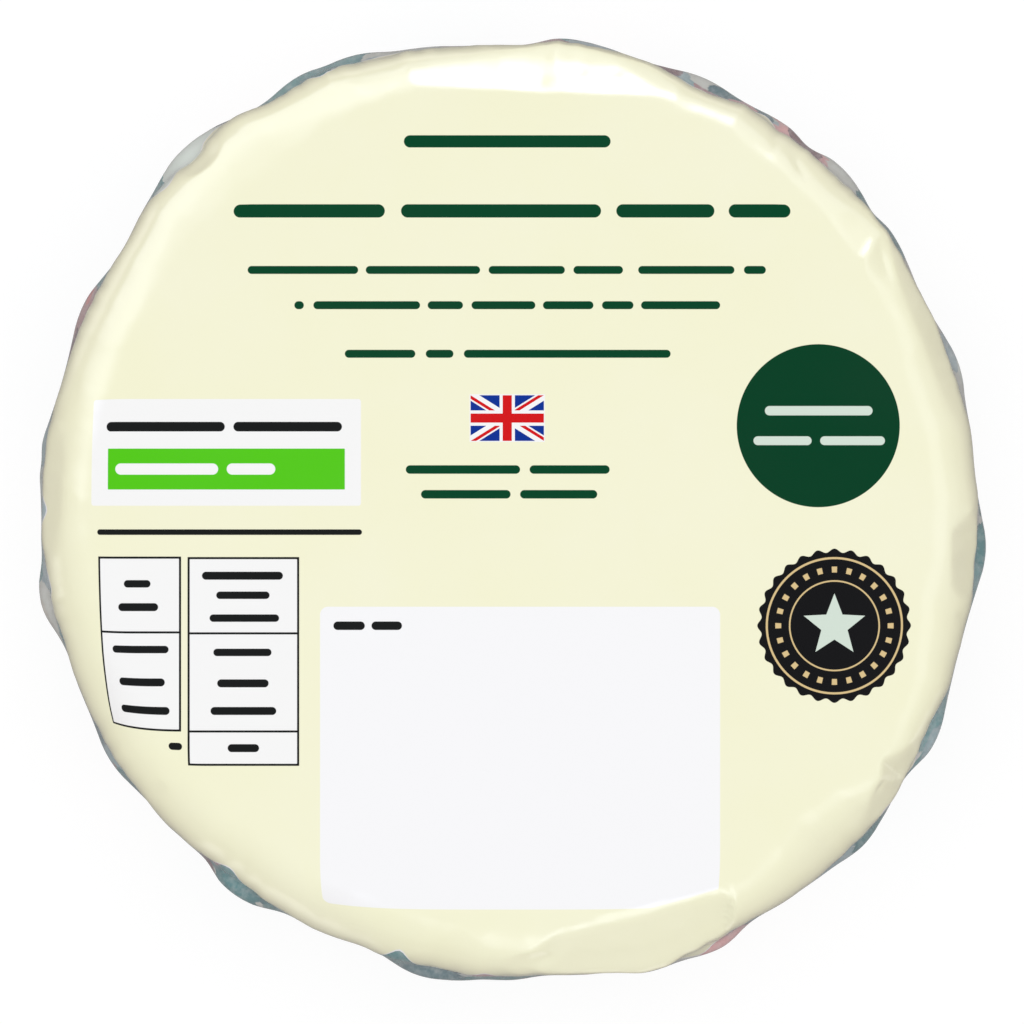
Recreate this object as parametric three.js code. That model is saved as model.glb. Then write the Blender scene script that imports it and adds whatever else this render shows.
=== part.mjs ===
// A whole pork pie shut in printed film, as one closed solid. The film lies drum-tight across the
// crimped rim, turns down over a soft shoulder, runs in straight chords from crimp to crimp, follows
// the bowed side of the pie and lies flat underneath.
import * as THREE from "three";

// Driving dimensions, in millimetres. Angles are in degrees, anticlockwise from +X seen from above.
const HEIGHT = 46; // from the resting face to the film across the rim
const SHOULDER_RUN = 6.9; // width of the shoulder, seen from above
const SHOULDER_DROP = 7.5; // depth of the shoulder, seen from the side
const RIM_HEIGHT = 34; // level at which the crimps push the film out furthest
const BELLY_HEIGHT = 22; // level of the bowed side's widest round
const BELLY_RADIUS = 49.7;
const BASE_RADIUS = 42.5; // of the flat that the pack rests on
const FOOT_SQUARENESS = 2.7; // 2 turns the side under as an ellipse, and more makes the foot squarer

// How much of the crimped outline is left at the belly and at the base: the pie is smoother lower down.
const CRIMP_AT_BELLY = 0.5;
const CRIMP_AT_BASE = 0.25;

// Crimps that push the film out: the direction of each, how far it reaches from the middle, and how
// far the shoulder above it is set back.
const CRIMPS = [
  { at: 18, reach: 49.7, setBack: 0.8 },
  { at: 36, reach: 49.7, setBack: 0.4 },
  { at: 46, reach: 50.4, setBack: 1.1 },
  { at: 55, reach: 50.0, setBack: 0.9 },
  { at: 66, reach: 50.1, setBack: 1.3 },
  { at: 83, reach: 50.4, setBack: 0.4 },
  { at: 101, reach: 49.9, setBack: 0.2 },
  { at: 109, reach: 51.2, setBack: 0.9 },
  { at: 117, reach: 51.5, setBack: 0.9 },
  { at: 132.5, reach: 52.2, setBack: 1.4 },
  { at: 155, reach: 50.5, setBack: 0.7 },
  { at: 173, reach: 50.5, setBack: 0.5 },
  { at: 191, reach: 51.1, setBack: 1.2 },
  { at: 212, reach: 50.3, setBack: 0.6 },
  { at: 234, reach: 50.4, setBack: 1.5 },
  { at: 260, reach: 50.5, setBack: 1.2 },
  { at: 269, reach: 49.7, setBack: 0.4 },
  { at: 286, reach: 51.0, setBack: 0.1 },
  { at: 295, reach: 51.4, setBack: 1.0 },
  { at: 316, reach: 51.4, setBack: 0.8 },
  { at: 331.5, reach: 51.0, setBack: 1.3 },
  { at: 355, reach: 50.3, setBack: 1.1 },
];
const CRIMP_HALF_WIDTH = 8; // a crimp sets the shoulder back over this angle to each side
const CORNER_ROUNDING = 2.5; // the film rounds a crimp over this angle to each side
const FILM_SAG = 0.4; // how far the shrunken film is drawn in midway between two crimps

// Hollows that the film has pulled in on the shoulder: the direction of the middle of each, how far
// that lies in from the shoulder's edge seen from above, the half-angle it takes up round the rim,
// its reach up and down the shoulder, and its depth.
const HOLLOWS = [
  { at: 354, inset: 1.2, halfAngle: 6, reach: 3.6, depth: 1.0 },
  { at: 326, inset: 1.6, halfAngle: 4, reach: 3, depth: 0.8 },
  { at: 297, inset: 2.0, halfAngle: 4, reach: 4, depth: 0.7 },
  { at: 129.5, inset: 0.8, halfAngle: 4, reach: 3.6, depth: 0.9 },
  { at: 37, inset: 0.6, halfAngle: 3.5, reach: 3.2, depth: 0.9 },
];

// How finely the solid is faceted
const SEGMENTS = 144;
const DRUM_RINGS = 2;
const SHOULDER_RINGS = 7;
const UPPER_SIDE_RINGS = 5;
const LOWER_SIDE_RINGS = 10;
const BASE_RINGS = 2;
const CORNER_SAMPLES = 3;

const FILM_COLOUR = 0xf5f4d7;
const FILM_ROUGHNESS = 0.25;

const { degToRad, euclideanModulo, lerp, smoothstep } = THREE.MathUtils;
const FULL_TURN = 360;

// Angle from one direction round to another, from -180 to 180.
function turnBetween(from, to) {
  return euclideanModulo(to - from + FULL_TURN / 2, FULL_TURN) - FULL_TURN / 2;
}

// Distance from the middle to the film between the two nearest crimps: a straight chord, drawn in a
// little by the film's sag.
function chordReach(angle) {
  const direction = euclideanModulo(angle, FULL_TURN);
  const after = CRIMPS.findIndex((crimp) => crimp.at > direction);
  const second = CRIMPS[after < 0 ? 0 : after];
  const first = CRIMPS[after > 0 ? after - 1 : CRIMPS.length - 1];
  const fromFirst = degToRad(euclideanModulo(direction - first.at, FULL_TURN));
  const toSecond = degToRad(euclideanModulo(second.at - direction, FULL_TURN));
  const spread = first.reach * Math.sin(fromFirst) + second.reach * Math.sin(toSecond);
  const chord = (first.reach * second.reach * Math.sin(fromFirst + toSecond)) / spread;
  return chord - FILM_SAG * Math.sin((Math.PI * fromFirst) / (fromFirst + toSecond));
}

// The film's outline at the crimps, with each corner rounded by averaging over a small turn.
function crimpedRadius(angle) {
  let total = 0;
  for (let i = -CORNER_SAMPLES; i <= CORNER_SAMPLES; i++) {
    total += chordReach(angle + (i * CORNER_ROUNDING) / CORNER_SAMPLES);
  }
  return total / (2 * CORNER_SAMPLES + 1);
}

// A smooth hump that is 1 in the middle and 0 at one half-width.
function hump(distance, halfWidth) {
  return 1 - smoothstep(Math.abs(distance), 0, halfWidth);
}

// The outline of the shoulder's lower edge, set back above each crimp.
function shoulderRadius(angle) {
  const setBacks = CRIMPS.map((crimp) => {
    return crimp.setBack * hump(turnBetween(crimp.at, angle), CRIMP_HALF_WIDTH);
  });
  return crimpedRadius(angle) - Math.max(...setBacks);
}

// A plain round's radius with a share of the crimped outline's ups and downs.
const MEAN_REACH = CRIMPS.reduce((sum, crimp) => sum + crimp.reach, 0) / CRIMPS.length;
function partlyCrimped(round, angle, share) {
  return round + share * (crimpedRadius(angle) - MEAN_REACH);
}

// Points from one (radius, level) to the next along a smooth side, without the first.
function easedPoints(from, to, count) {
  return Array.from({ length: count }, (_, i) => {
    const along = (i + 1) / count;
    return new THREE.Vector2(lerp(from.x, to.x, smoothstep(along, 0, 1)), lerp(from.y, to.y, along));
  });
}

// Points round a quarter of an ellipse, without the first, or of a squarer round. It starts level and
// ends upright, or the other way round.
const ELLIPSE = 2;
function turnedPoints(from, to, count, startsLevel, squareness = ELLIPSE) {
  return Array.from({ length: count }, (_, i) => {
    const turn = ((i + 1) / count) * (Math.PI / 2);
    const early = Math.sin(turn) ** (2 / squareness);
    const late = 1 - Math.max(Math.cos(turn), 0) ** (2 / squareness);
    const across = startsLevel ? early : late;
    const down = startsLevel ? late : early;
    return new THREE.Vector2(lerp(from.x, to.x, across), lerp(from.y, to.y, down));
  });
}

// The section through the solid in one direction, from the first ring on top to the last underneath.
function sectionAt(angle) {
  const shoulder = new THREE.Vector2(shoulderRadius(angle), HEIGHT - SHOULDER_DROP);
  const drum = new THREE.Vector2(shoulder.x - SHOULDER_RUN, HEIGHT);
  const rim = new THREE.Vector2(crimpedRadius(angle), RIM_HEIGHT);
  const belly = new THREE.Vector2(partlyCrimped(BELLY_RADIUS, angle, CRIMP_AT_BELLY), BELLY_HEIGHT);
  const base = new THREE.Vector2(partlyCrimped(BASE_RADIUS, angle, CRIMP_AT_BASE), 0);
  const topRings = Array.from({ length: DRUM_RINGS }, (_, i) => {
    return new THREE.Vector2((drum.x * (i + 1)) / DRUM_RINGS, HEIGHT);
  });
  const baseRings = Array.from({ length: BASE_RINGS - 1 }, (_, i) => {
    return new THREE.Vector2((base.x * (BASE_RINGS - 1 - i)) / BASE_RINGS, 0);
  });
  return [
    ...topRings,
    ...turnedPoints(drum, shoulder, SHOULDER_RINGS, true),
    ...easedPoints(shoulder, rim, UPPER_SIDE_RINGS),
    ...easedPoints(rim, belly, UPPER_SIDE_RINGS),
    ...turnedPoints(belly, base, LOWER_SIDE_RINGS, false, FOOT_SQUARENESS),
    ...baseRings,
  ];
}

// The middle of a hollow, as a point on the shoulder's quarter of an ellipse.
function hollowMiddle(hollow) {
  const across = (SHOULDER_RUN - hollow.inset) / SHOULDER_RUN;
  const drop = SHOULDER_DROP * (1 - Math.sqrt(1 - across * across));
  return new THREE.Vector2(shoulderRadius(hollow.at) - hollow.inset, HEIGHT - drop);
}

// How deep the film is pulled in at a point of the section in one direction.
function hollowDepth(angle, point) {
  return HOLLOWS.reduce((depth, hollow) => {
    const roundRim = hump(turnBetween(hollow.at, angle), hollow.halfAngle);
    const downShoulder = hump(point.distanceTo(hollowMiddle(hollow)), hollow.reach);
    return depth + hollow.depth * roundRim * downShoulder;
  }, 0);
}

// The section with its hollows pressed in, each point moving square to the surface.
function hollowedSection(angle) {
  const section = sectionAt(angle);
  return section.map((point, i) => {
    const before = section[Math.max(i - 1, 0)];
    const after = section[Math.min(i + 1, section.length - 1)];
    const inward = new THREE.Vector2(after.y - before.y, before.x - after.x).normalize();
    return point.clone().addScaledVector(inward, hollowDepth(angle, point));
  });
}

// The closed skin: rings of points joined by pairs of triangles, with a fan at the middle of the top
// and another at the middle of the base.
function wrappedPieGeometry() {
  const positions = [];
  const faces = [];
  for (let i = 0; i < SEGMENTS; i++) {
    const angle = (i * FULL_TURN) / SEGMENTS;
    const turn = degToRad(angle);
    for (const point of hollowedSection(angle)) {
      positions.push(point.x * Math.cos(turn), point.x * Math.sin(turn), point.y);
    }
  }
  const rings = positions.length / 3 / SEGMENTS;
  const topMiddle = rings * SEGMENTS;
  const baseMiddle = topMiddle + 1;
  positions.push(0, 0, HEIGHT, 0, 0, 0);

  for (let i = 0; i < SEGMENTS; i++) {
    const here = i * rings;
    const next = ((i + 1) % SEGMENTS) * rings;
    faces.push(topMiddle, here, next);
    for (let ring = 0; ring < rings - 1; ring++) {
      faces.push(here + ring, here + ring + 1, next + ring);
      faces.push(next + ring, here + ring + 1, next + ring + 1);
    }
    faces.push(baseMiddle, next + rings - 1, here + rings - 1);
  }

  const geometry = new THREE.BufferGeometry();
  geometry.setAttribute("position", new THREE.Float32BufferAttribute(positions, 3));
  geometry.setIndex(faces);
  geometry.computeBoundingBox();
  const middle = geometry.boundingBox.getCenter(new THREE.Vector3());
  geometry.translate(-middle.x, -middle.y, 0);
  geometry.computeVertexNormals();
  return geometry;
}

const film = new THREE.MeshStandardMaterial({
  color: FILM_COLOUR,
  roughness: FILM_ROUGHNESS,
  metalness: 0,
});

const wrappedPie = new THREE.Mesh(wrappedPieGeometry(), film);
wrappedPie.name = "wrapped_pie";

const pack = new THREE.Group();
pack.add(wrappedPie);

export default pack;
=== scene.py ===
# %% [markdown]
# # A pork pie shut in printed film
# A raised pork pie of 290 g is sold sealed in a bag of printed plastic film. The film is shrunk with
# hot air until it is drum-tight over the crimped rim of the crust, so what can be seen is not pastry
# but film: a flat cream label face, a soft rounded shoulder, a bowed side and a flat base.
# This lesson makes that film as one closed mesh, and gives it its print and its gloss with shader
# nodes alone. Lengths are in millimetres until the mesh is made, because that is how a pack is drawn.
#
# The first cell loads the solid that the pack was designed as. Its box is kept, to compare sizes later.

# %% The solid to dress
import functools
import math

import bpy
import numpy as np
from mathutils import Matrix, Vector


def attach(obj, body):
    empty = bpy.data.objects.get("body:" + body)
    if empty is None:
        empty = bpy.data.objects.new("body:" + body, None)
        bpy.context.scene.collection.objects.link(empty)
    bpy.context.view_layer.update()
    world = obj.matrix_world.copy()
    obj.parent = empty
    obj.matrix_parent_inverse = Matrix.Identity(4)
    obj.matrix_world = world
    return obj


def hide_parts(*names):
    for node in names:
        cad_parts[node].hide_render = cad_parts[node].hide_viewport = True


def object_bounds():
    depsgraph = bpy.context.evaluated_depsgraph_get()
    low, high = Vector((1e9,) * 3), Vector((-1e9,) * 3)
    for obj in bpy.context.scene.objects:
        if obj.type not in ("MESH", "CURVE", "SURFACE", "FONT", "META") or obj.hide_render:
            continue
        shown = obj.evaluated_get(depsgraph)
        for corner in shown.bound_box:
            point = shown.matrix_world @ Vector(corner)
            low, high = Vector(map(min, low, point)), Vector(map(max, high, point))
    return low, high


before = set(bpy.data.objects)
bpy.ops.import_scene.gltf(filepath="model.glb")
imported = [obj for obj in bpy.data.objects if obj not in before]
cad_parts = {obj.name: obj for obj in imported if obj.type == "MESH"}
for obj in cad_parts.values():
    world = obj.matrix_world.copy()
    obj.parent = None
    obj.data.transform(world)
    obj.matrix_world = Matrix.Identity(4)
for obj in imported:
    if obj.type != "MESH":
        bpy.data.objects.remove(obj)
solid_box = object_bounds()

MM = 0.001
scene = bpy.context.scene
print("solid to dress:", sorted(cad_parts), "box in metres:", [list(corner) for corner in solid_box])

# %% [markdown]
# ## The camera
# A pack shot of a label is taken straight from above with a long lens, so that the round stays round
# and no side shows. A lens far away sees almost parallel rays. The camera stands 3 m over the label,
# and its focal length follows from how much of the label plane one picture should take in.

# %% The camera
HEIGHT = 46
PICTURE_WIDTH = 107.5
CAMERA_DISTANCE = 3000
PICTURE_MIDDLE = (-0.05, -0.26)
SENSOR_WIDTH = 36
SIGHT_LIMIT = 20  # metres

camera = bpy.data.cameras.new("pack_shot")
camera.sensor_width = SENSOR_WIDTH
camera.lens = SENSOR_WIDTH * CAMERA_DISTANCE / PICTURE_WIDTH
camera.clip_end = SIGHT_LIMIT
camera_object = bpy.data.objects.new("pack_shot", camera)
camera_object.location = [side * MM for side in (*PICTURE_MIDDLE, HEIGHT + CAMERA_DISTANCE)]
scene.collection.objects.link(camera_object)
scene.camera = camera_object
print("focal length in mm:", round(camera.lens))

# %% [markdown]
# ## Node helpers
# Lamps and materials are graphs of nodes, and writing each node out takes four lines. These small
# helpers make one node each, take either a number or another node's output for every input, and give
# back the output.

# %% Node helpers
def connect(tree, value, socket):
    """Sets a socket to a number or a colour, or links another node's output to it."""
    if isinstance(value, bpy.types.NodeSocket):
        tree.links.new(value, socket)
    elif value is not None:
        socket.default_value = value


def calculate(tree, operation, *values):
    node = tree.nodes.new("ShaderNodeMath")
    node.operation = operation
    for value, socket in zip(values, node.inputs):
        connect(tree, value, socket)
    return node.outputs[0]


def fade(tree, value, start, end, way="LINEAR"):
    """0 up to start and 1 from end on, or the other way round if end is the smaller."""
    node = tree.nodes.new("ShaderNodeMapRange")
    node.interpolation_type = way
    for name, number in (("Value", value), ("From Min", start), ("From Max", end)):
        connect(tree, number, node.inputs[name])
    return node.outputs["Result"]


def parts_of(tree, vector):
    node = tree.nodes.new("ShaderNodeSeparateXYZ")
    tree.links.new(vector, node.inputs["Vector"])
    return node.outputs


print("node helpers ready")

# %% [markdown]
# ## The light
# Two kinds of light are set apart here, as a photographer does with polarising filters. The even light
# of a white tent shows the matt side of things: on a shoulder that turns away from it, cream falls off
# softly. Gloss is seen only by what it mirrors: over the label it should mirror darkness, or the dark
# inks turn milky, and on the shoulder it should mirror lamps. So the room lights everything evenly but
# is nearly dark in reflections, and the lamps show in reflections alone.
# A lamp is given by the part of the sky it fills, seen from the pack, by how bright it looks, and by
# how far in its light fades towards its borders, as the cloth of a softbox does. The tall hot one is
# behind the pack, with a wide weaker one to its left, a narrow strip in front and faint ones round
# them. All are faintly blue, as daylight lamps are, so that cream turns white where it mirrors them.
# The view transform is the plain one, so that print colours come out as they are mixed.

# %% The room and the lamps
TENT_LIGHT = 1.03
TENT_IN_GLOSS = 0.02
LAMP_DISTANCE = 1.5  # metres
LAMP_TINT = (0.78, 0.82, 1)
POWER_OF_WHITE = 4
GLOSS_LAMPS = [
    # name, bearings in degrees, elevations in degrees, brightness beside a white sheet's 1, border
    ("lamp_behind", (57, 104), (20, 64), 7.5, 0.8),
    ("lamp_behind_low", (60, 112), (-4, 26), 0.9, 0.3),
    ("lamp_upper_left", (92, 174), (2, 74), 1.9, 0.5),
    ("lamp_upper_right", (30, 80), (10, 70), 1.0, 0.5),
    ("lamp_right", (-32, 42), (44, 72), 0.7, 0.5),
    ("lamp_front", (250, 318), (44, 72), 0.8, 0.5),
    ("lamp_front_strip", (274, 295), (38, 76), 1.3, 0.4),
]

scene.view_settings.view_transform = "Standard"
scene.view_settings.look = "None"


def soften_borders(lamp, border):
    """Makes a lamp's light fade over its outer part, a share of its half-side."""
    lamp.use_nodes = True
    tree = lamp.node_tree
    place = parts_of(tree, tree.nodes.new("ShaderNodeNewGeometry").outputs["Parametric"])
    to_borders = [calculate(tree, "PINGPONG", place[axis], 0.5) for axis in "XY"]
    faded = [fade(tree, distance, 0, border / 2, "SMOOTHSTEP") for distance in to_borders]
    connect(tree, calculate(tree, "MULTIPLY", *faded), tree.nodes["Emission"].inputs["Strength"])


def soft_lamp(name, sides, place, turned, brightness, border, seen_by="gloss"):
    """A rectangular lamp that the camera never sees, and of the rest gloss alone or matt alone."""
    lamp = bpy.data.lights.new(name, "AREA")
    lamp.shape = "RECTANGLE"
    lamp.size, lamp.size_y = sides
    lamp.energy = POWER_OF_WHITE * brightness * sides[0] * sides[1]
    soften_borders(lamp, border)
    lamp_object = bpy.data.objects.new(name, lamp)
    lamp_object.location = place
    lamp_object.rotation_euler = turned
    lamp_object.visible_camera = False
    lamp_object.visible_diffuse = seen_by == "matt"
    lamp_object.visible_glossy = seen_by == "gloss"
    scene.collection.objects.link(lamp_object)
    return lamp


def middle_and_half(angles):
    """The middle and the half-width of a range in degrees, both in radians."""
    return math.radians(sum(angles) / 2), math.radians(angles[1] - angles[0]) / 2


def sky_lamp(name, bearings, elevations, brightness, border):
    """A lamp that faces the pack and fills a part of its sky."""
    bearing, half_bearing = middle_and_half(bearings)
    elevation, half_elevation = middle_and_half(elevations)
    level = LAMP_DISTANCE * math.cos(elevation)
    sides = (2 * level * math.tan(half_bearing), 2 * LAMP_DISTANCE * math.tan(half_elevation))
    place = (level * math.cos(bearing), level * math.sin(bearing), LAMP_DISTANCE * math.sin(elevation))
    turned = (math.pi / 2 - elevation, 0, bearing + math.pi / 2)
    soft_lamp(name, sides, place, turned, brightness, border).color = LAMP_TINT


def lit_room():
    room = bpy.data.worlds.new("room")
    room.use_nodes = True
    tree = room.node_tree
    background = tree.nodes["Background"]
    background.inputs["Color"].default_value = (1, 1, 1, 1)
    in_gloss = tree.nodes.new("ShaderNodeLightPath").outputs["Is Glossy Ray"]
    strength = calculate(tree, "MULTIPLY_ADD", in_gloss, TENT_IN_GLOSS - TENT_LIGHT, TENT_LIGHT)
    connect(tree, strength, background.inputs["Strength"])
    return room


scene.world = lit_room()
for lamp in GLOSS_LAMPS:
    sky_lamp(*lamp)
print("lamps:", [lamp[0] for lamp in GLOSS_LAMPS])

# %% [markdown]
# ## The floor
# The pack stands on a pale sheet. A white floor would shine up into the side and wash its print out,
# so the sheet looks white to the camera alone, with a trace of the pack's shadow on it. To the matt
# side of things it is a dark one. The gloss of the steep film at the rim and of the side mirrors the
# sheet too: there it is grey, with soft bright cards laid on it round the pack. Those give the side's
# folds something to shine with. One card behind the pack works the other way: it isn't mirrored, but
# it throws light up on the matt cream of the rim there.

# %% The floor
FLOOR_SIDE = 4  # metres
FLOOR_GLOW = 0.84
FLOOR_ROUGHNESS = 0.9
FLOOR_PALE = (0.2, 0.2, 0.2, 1)
FLOOR_DARK = (0.22, 0.13, 0.10, 1)
FLOOR_IN_GLOSS = (0.28, 0.28, 0.28, 1)
CARD_REACH = (70, 340)
CARD_LIFT = 1
CARD_BORDER = 0.6
FLOOR_CARDS = [
    # name, bearings in degrees, brightness, what sees it
    ("card_behind", (62, 110), 0.9, "gloss"),
    ("card_bounce", (80, 118), 2.6, "matt"),
    ("card_left", (144, 162), 0.8, "gloss"),
    ("card_far_left", (186, 192), 0.8, "gloss"),
    ("card_front_left", (232, 248), 0.8, "gloss"),
    ("card_front", (278, 290), 0.8, "gloss"),
    ("card_front_right", (330, 336), 0.8, "gloss"),
    ("card_right", (26, 38), 0.4, "gloss"),
]


def mixed_shader(tree, share, first, second):
    mix = tree.nodes.new("ShaderNodeMixShader")
    for value, socket in zip((share, first, second), mix.inputs):
        tree.links.new(value, socket)
    return mix.outputs["Shader"]


def floor_sheet():
    sheet = bpy.data.materials.new("pale_sheet")
    sheet.use_nodes = True
    tree = sheet.node_tree
    shader = tree.nodes["Principled BSDF"]
    shader.inputs["Base Color"].default_value = FLOOR_PALE
    shader.inputs["Roughness"].default_value = FLOOR_ROUGHNESS
    shader.inputs["Specular IOR Level"].default_value = 0
    shader.inputs["Emission Color"].default_value = (1, 1, 1, 1)
    shader.inputs["Emission Strength"].default_value = FLOOR_GLOW
    dark = tree.nodes.new("ShaderNodeBsdfDiffuse")
    dark.inputs["Color"].default_value = FLOOR_DARK
    grey = tree.nodes.new("ShaderNodeEmission")
    grey.inputs["Color"].default_value = FLOOR_IN_GLOSS
    rays = tree.nodes.new("ShaderNodeLightPath")
    in_gloss, to_camera = rays.outputs["Is Glossy Ray"], rays.outputs["Is Camera Ray"]
    unseen = mixed_shader(tree, in_gloss, dark.outputs["BSDF"], grey.outputs["Emission"])
    for_all = mixed_shader(tree, to_camera, unseen, shader.outputs["BSDF"])
    tree.links.new(for_all, tree.nodes["Material Output"].inputs["Surface"])
    return sheet


def plain_floor():
    half = FLOOR_SIDE / 2
    mesh = bpy.data.meshes.new("floor")
    corners = [(-half, -half, 0), (half, -half, 0), (half, half, 0), (-half, half, 0)]
    mesh.from_pydata(corners, [], [(0, 1, 2, 3)])
    mesh.materials.append(floor_sheet())
    return bpy.data.objects.new("floor", mesh)


def floor_card(name, bearings, brightness, seen_by):
    """A bright card that lies on the floor, face up, from near the pack outward."""
    bearing, half_bearing = middle_and_half(bearings)
    middle = sum(CARD_REACH) / 2 * MM
    sides = (2 * middle * math.tan(half_bearing), (CARD_REACH[1] - CARD_REACH[0]) * MM)
    place = (middle * math.cos(bearing), middle * math.sin(bearing), CARD_LIFT * MM)
    soft_lamp(name, sides, place, (math.pi, 0, bearing + math.pi / 2), brightness, CARD_BORDER, seen_by)


floor = plain_floor()
scene.collection.objects.link(floor)
for card in FLOOR_CARDS:
    floor_card(*card)
print("floor laid, side in metres:", FLOOR_SIDE, "with cards:", len(FLOOR_CARDS))

# %% [markdown]
# ## The outline at the rim
# The crust is crimped by hand, so its rim has uneven corners. Shrunken film can't follow the dips
# between them: it runs straight from corner to corner, sagging in a little. The outline is worked out
# in polar form: a chord between two neighbouring corners has a simple formula for its distance from
# the middle. Averaging that distance over a small turn rounds the corners.
# These are the same numbers and formulas as the solid's, so the film lies on it everywhere.

# %% The outline at the rim
CRIMPS = np.array([
    # direction in degrees, reach from the middle, set-back of the shoulder above it
    (18, 49.7, 0.8),
    (36, 49.7, 0.4),
    (46, 50.4, 1.1),
    (55, 50.0, 0.9),
    (66, 50.1, 1.3),
    (83, 50.4, 0.4),
    (101, 49.9, 0.2),
    (109, 51.2, 0.9),
    (117, 51.5, 0.9),
    (132.5, 52.2, 1.4),
    (155, 50.5, 0.7),
    (173, 50.5, 0.5),
    (191, 51.1, 1.2),
    (212, 50.3, 0.6),
    (234, 50.4, 1.5),
    (260, 50.5, 1.2),
    (269, 49.7, 0.4),
    (286, 51.0, 0.1),
    (295, 51.4, 1.0),
    (316, 51.4, 0.8),
    (331.5, 51.0, 1.3),
    (355, 50.3, 1.1),
])
CRIMP_HALF_WIDTH = 8
CORNER_ROUNDING = 2.5
CORNER_SAMPLES = 3
FILM_SAG = 0.4
FULL_TURN = 360
crimp_at, crimp_reach, crimp_set_back = CRIMPS.T


def smooth(share):
    """0 to 1 with a soft start and end."""
    share = np.clip(share, 0, 1)
    return share * share * (3 - 2 * share)


def soft_rise(value, start, end):
    """0 up to start and 1 from end on, or the other way round if end is the smaller."""
    return smooth((value - start) / (end - start))


def hump(distance, half_width):
    """1 in the middle, 0 from one half-width on."""
    return 1 - smooth(np.abs(distance) / half_width)


def turn_between(start, end):
    return np.mod(end - start + FULL_TURN / 2, FULL_TURN) - FULL_TURN / 2


def chord_reach(angle):
    """Distance from the middle to the film between the two nearest crimps."""
    direction = np.mod(angle, FULL_TURN)
    second = np.searchsorted(crimp_at, direction, side="right") % len(CRIMPS)
    first = second - 1
    from_first = np.radians(np.mod(direction - crimp_at[first], FULL_TURN))
    to_second = np.radians(np.mod(crimp_at[second] - direction, FULL_TURN))
    spread = crimp_reach[first] * np.sin(from_first) + crimp_reach[second] * np.sin(to_second)
    chord = crimp_reach[first] * crimp_reach[second] * np.sin(from_first + to_second) / spread
    return chord - FILM_SAG * np.sin(math.pi * from_first / (from_first + to_second))


def crimped_radius(angle):
    turns_off = np.arange(-CORNER_SAMPLES, CORNER_SAMPLES + 1) * CORNER_ROUNDING / CORNER_SAMPLES
    return np.mean([chord_reach(angle + off) for off in turns_off], axis=0)


def shoulder_radius(angle):
    """The outline of the shoulder's lower edge, set back above each crimp."""
    near = [hump(turn_between(at, angle), CRIMP_HALF_WIDTH) for at in crimp_at]
    return crimped_radius(angle) - np.max(crimp_set_back[:, None] * near, axis=0)


outline_across = 2 * crimped_radius(np.arange(FULL_TURN))
print("outline across in mm:", round(outline_across.min(), 1), "to", round(outline_across.max(), 1))

# %% [markdown]
# ## The section through the pack
# Seen in section, the film runs level across the drum, turns down a quarter of an ellipse at the
# shoulder, drops to the crimps, swells to the belly of the pie, and turns under to the base. A ring of
# points for each step, all round the pack, makes a net that can be bent afterwards. The rings lie
# close together on the shoulder, where all the fine creases are.
# Where the crust stands up in a sharp rim the shoulder is fuller: the film stays flat for longer and
# turns over more sharply. An ellipse with an exponent above 2 has this form, and its exponent changes
# with the direction.

# %% The section through the pack
SHOULDER_RUN = 6.9
SHOULDER_DROP = 7.5
RIM_HEIGHT = 34
BELLY_HEIGHT = 22
BELLY_RADIUS = 49.7
BASE_RADIUS = 42.5
FOOT_SQUARENESS = 2.7
CRIMP_AT_BELLY = 0.5
CRIMP_AT_BASE = 0.25
FULLNESS = [
    # direction, exponent of the shoulder's ellipse
    (0, 2.8), (20, 2.6), (29, 3.2), (36, 5.0), (43, 3.6), (50, 3.4), (57, 3.4), (63, 4.3),
    (74, 4.3), (83, 3.6), (92, 3.1), (110, 3.0), (138, 3.0), (150, 2.4), (180, 2.3), (225, 2.3),
    (245, 2.0), (262, 2.4), (272, 3.2), (284, 3.4), (299, 3.0), (313, 1.9), (319, 2.3), (323, 3.6),
    (328, 4.0), (334, 3.7), (341, 2.8), (348, 2.3), (355, 2.8),
]
DRUM_CROWDING = 1.5

SEGMENTS = 720
DRUM_RINGS = 20
SHOULDER_RINGS = 44
UPPER_SIDE_RINGS = 8
BELLY_RINGS = 12
FOOT_RINGS = 22
BASE_RINGS = 24
SHOULDER_END = DRUM_RINGS + SHOULDER_RINGS
RIM_END = SHOULDER_END + UPPER_SIDE_RINGS

turns = np.arange(SEGMENTS) * FULL_TURN / SEGMENTS


def between(start, end, share):
    return start + (end - start) * share


def partly_crimped(round_radius, share):
    return round_radius + share * (crimped_radius(turns) - crimp_reach.mean())


def ring_shares(count):
    """The shares of the way along a part of the section at which its rings lie."""
    return np.arange(1, count + 1) / count


def quarter_ellipse(share, exponent):
    """How far out and how far down a quarter of an ellipse has gone, at a share of its turn."""
    turned = share * math.pi / 2
    return math.sin(turned) ** (2 / exponent), 1 - max(math.cos(turned), 0) ** (2 / exponent)


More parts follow.
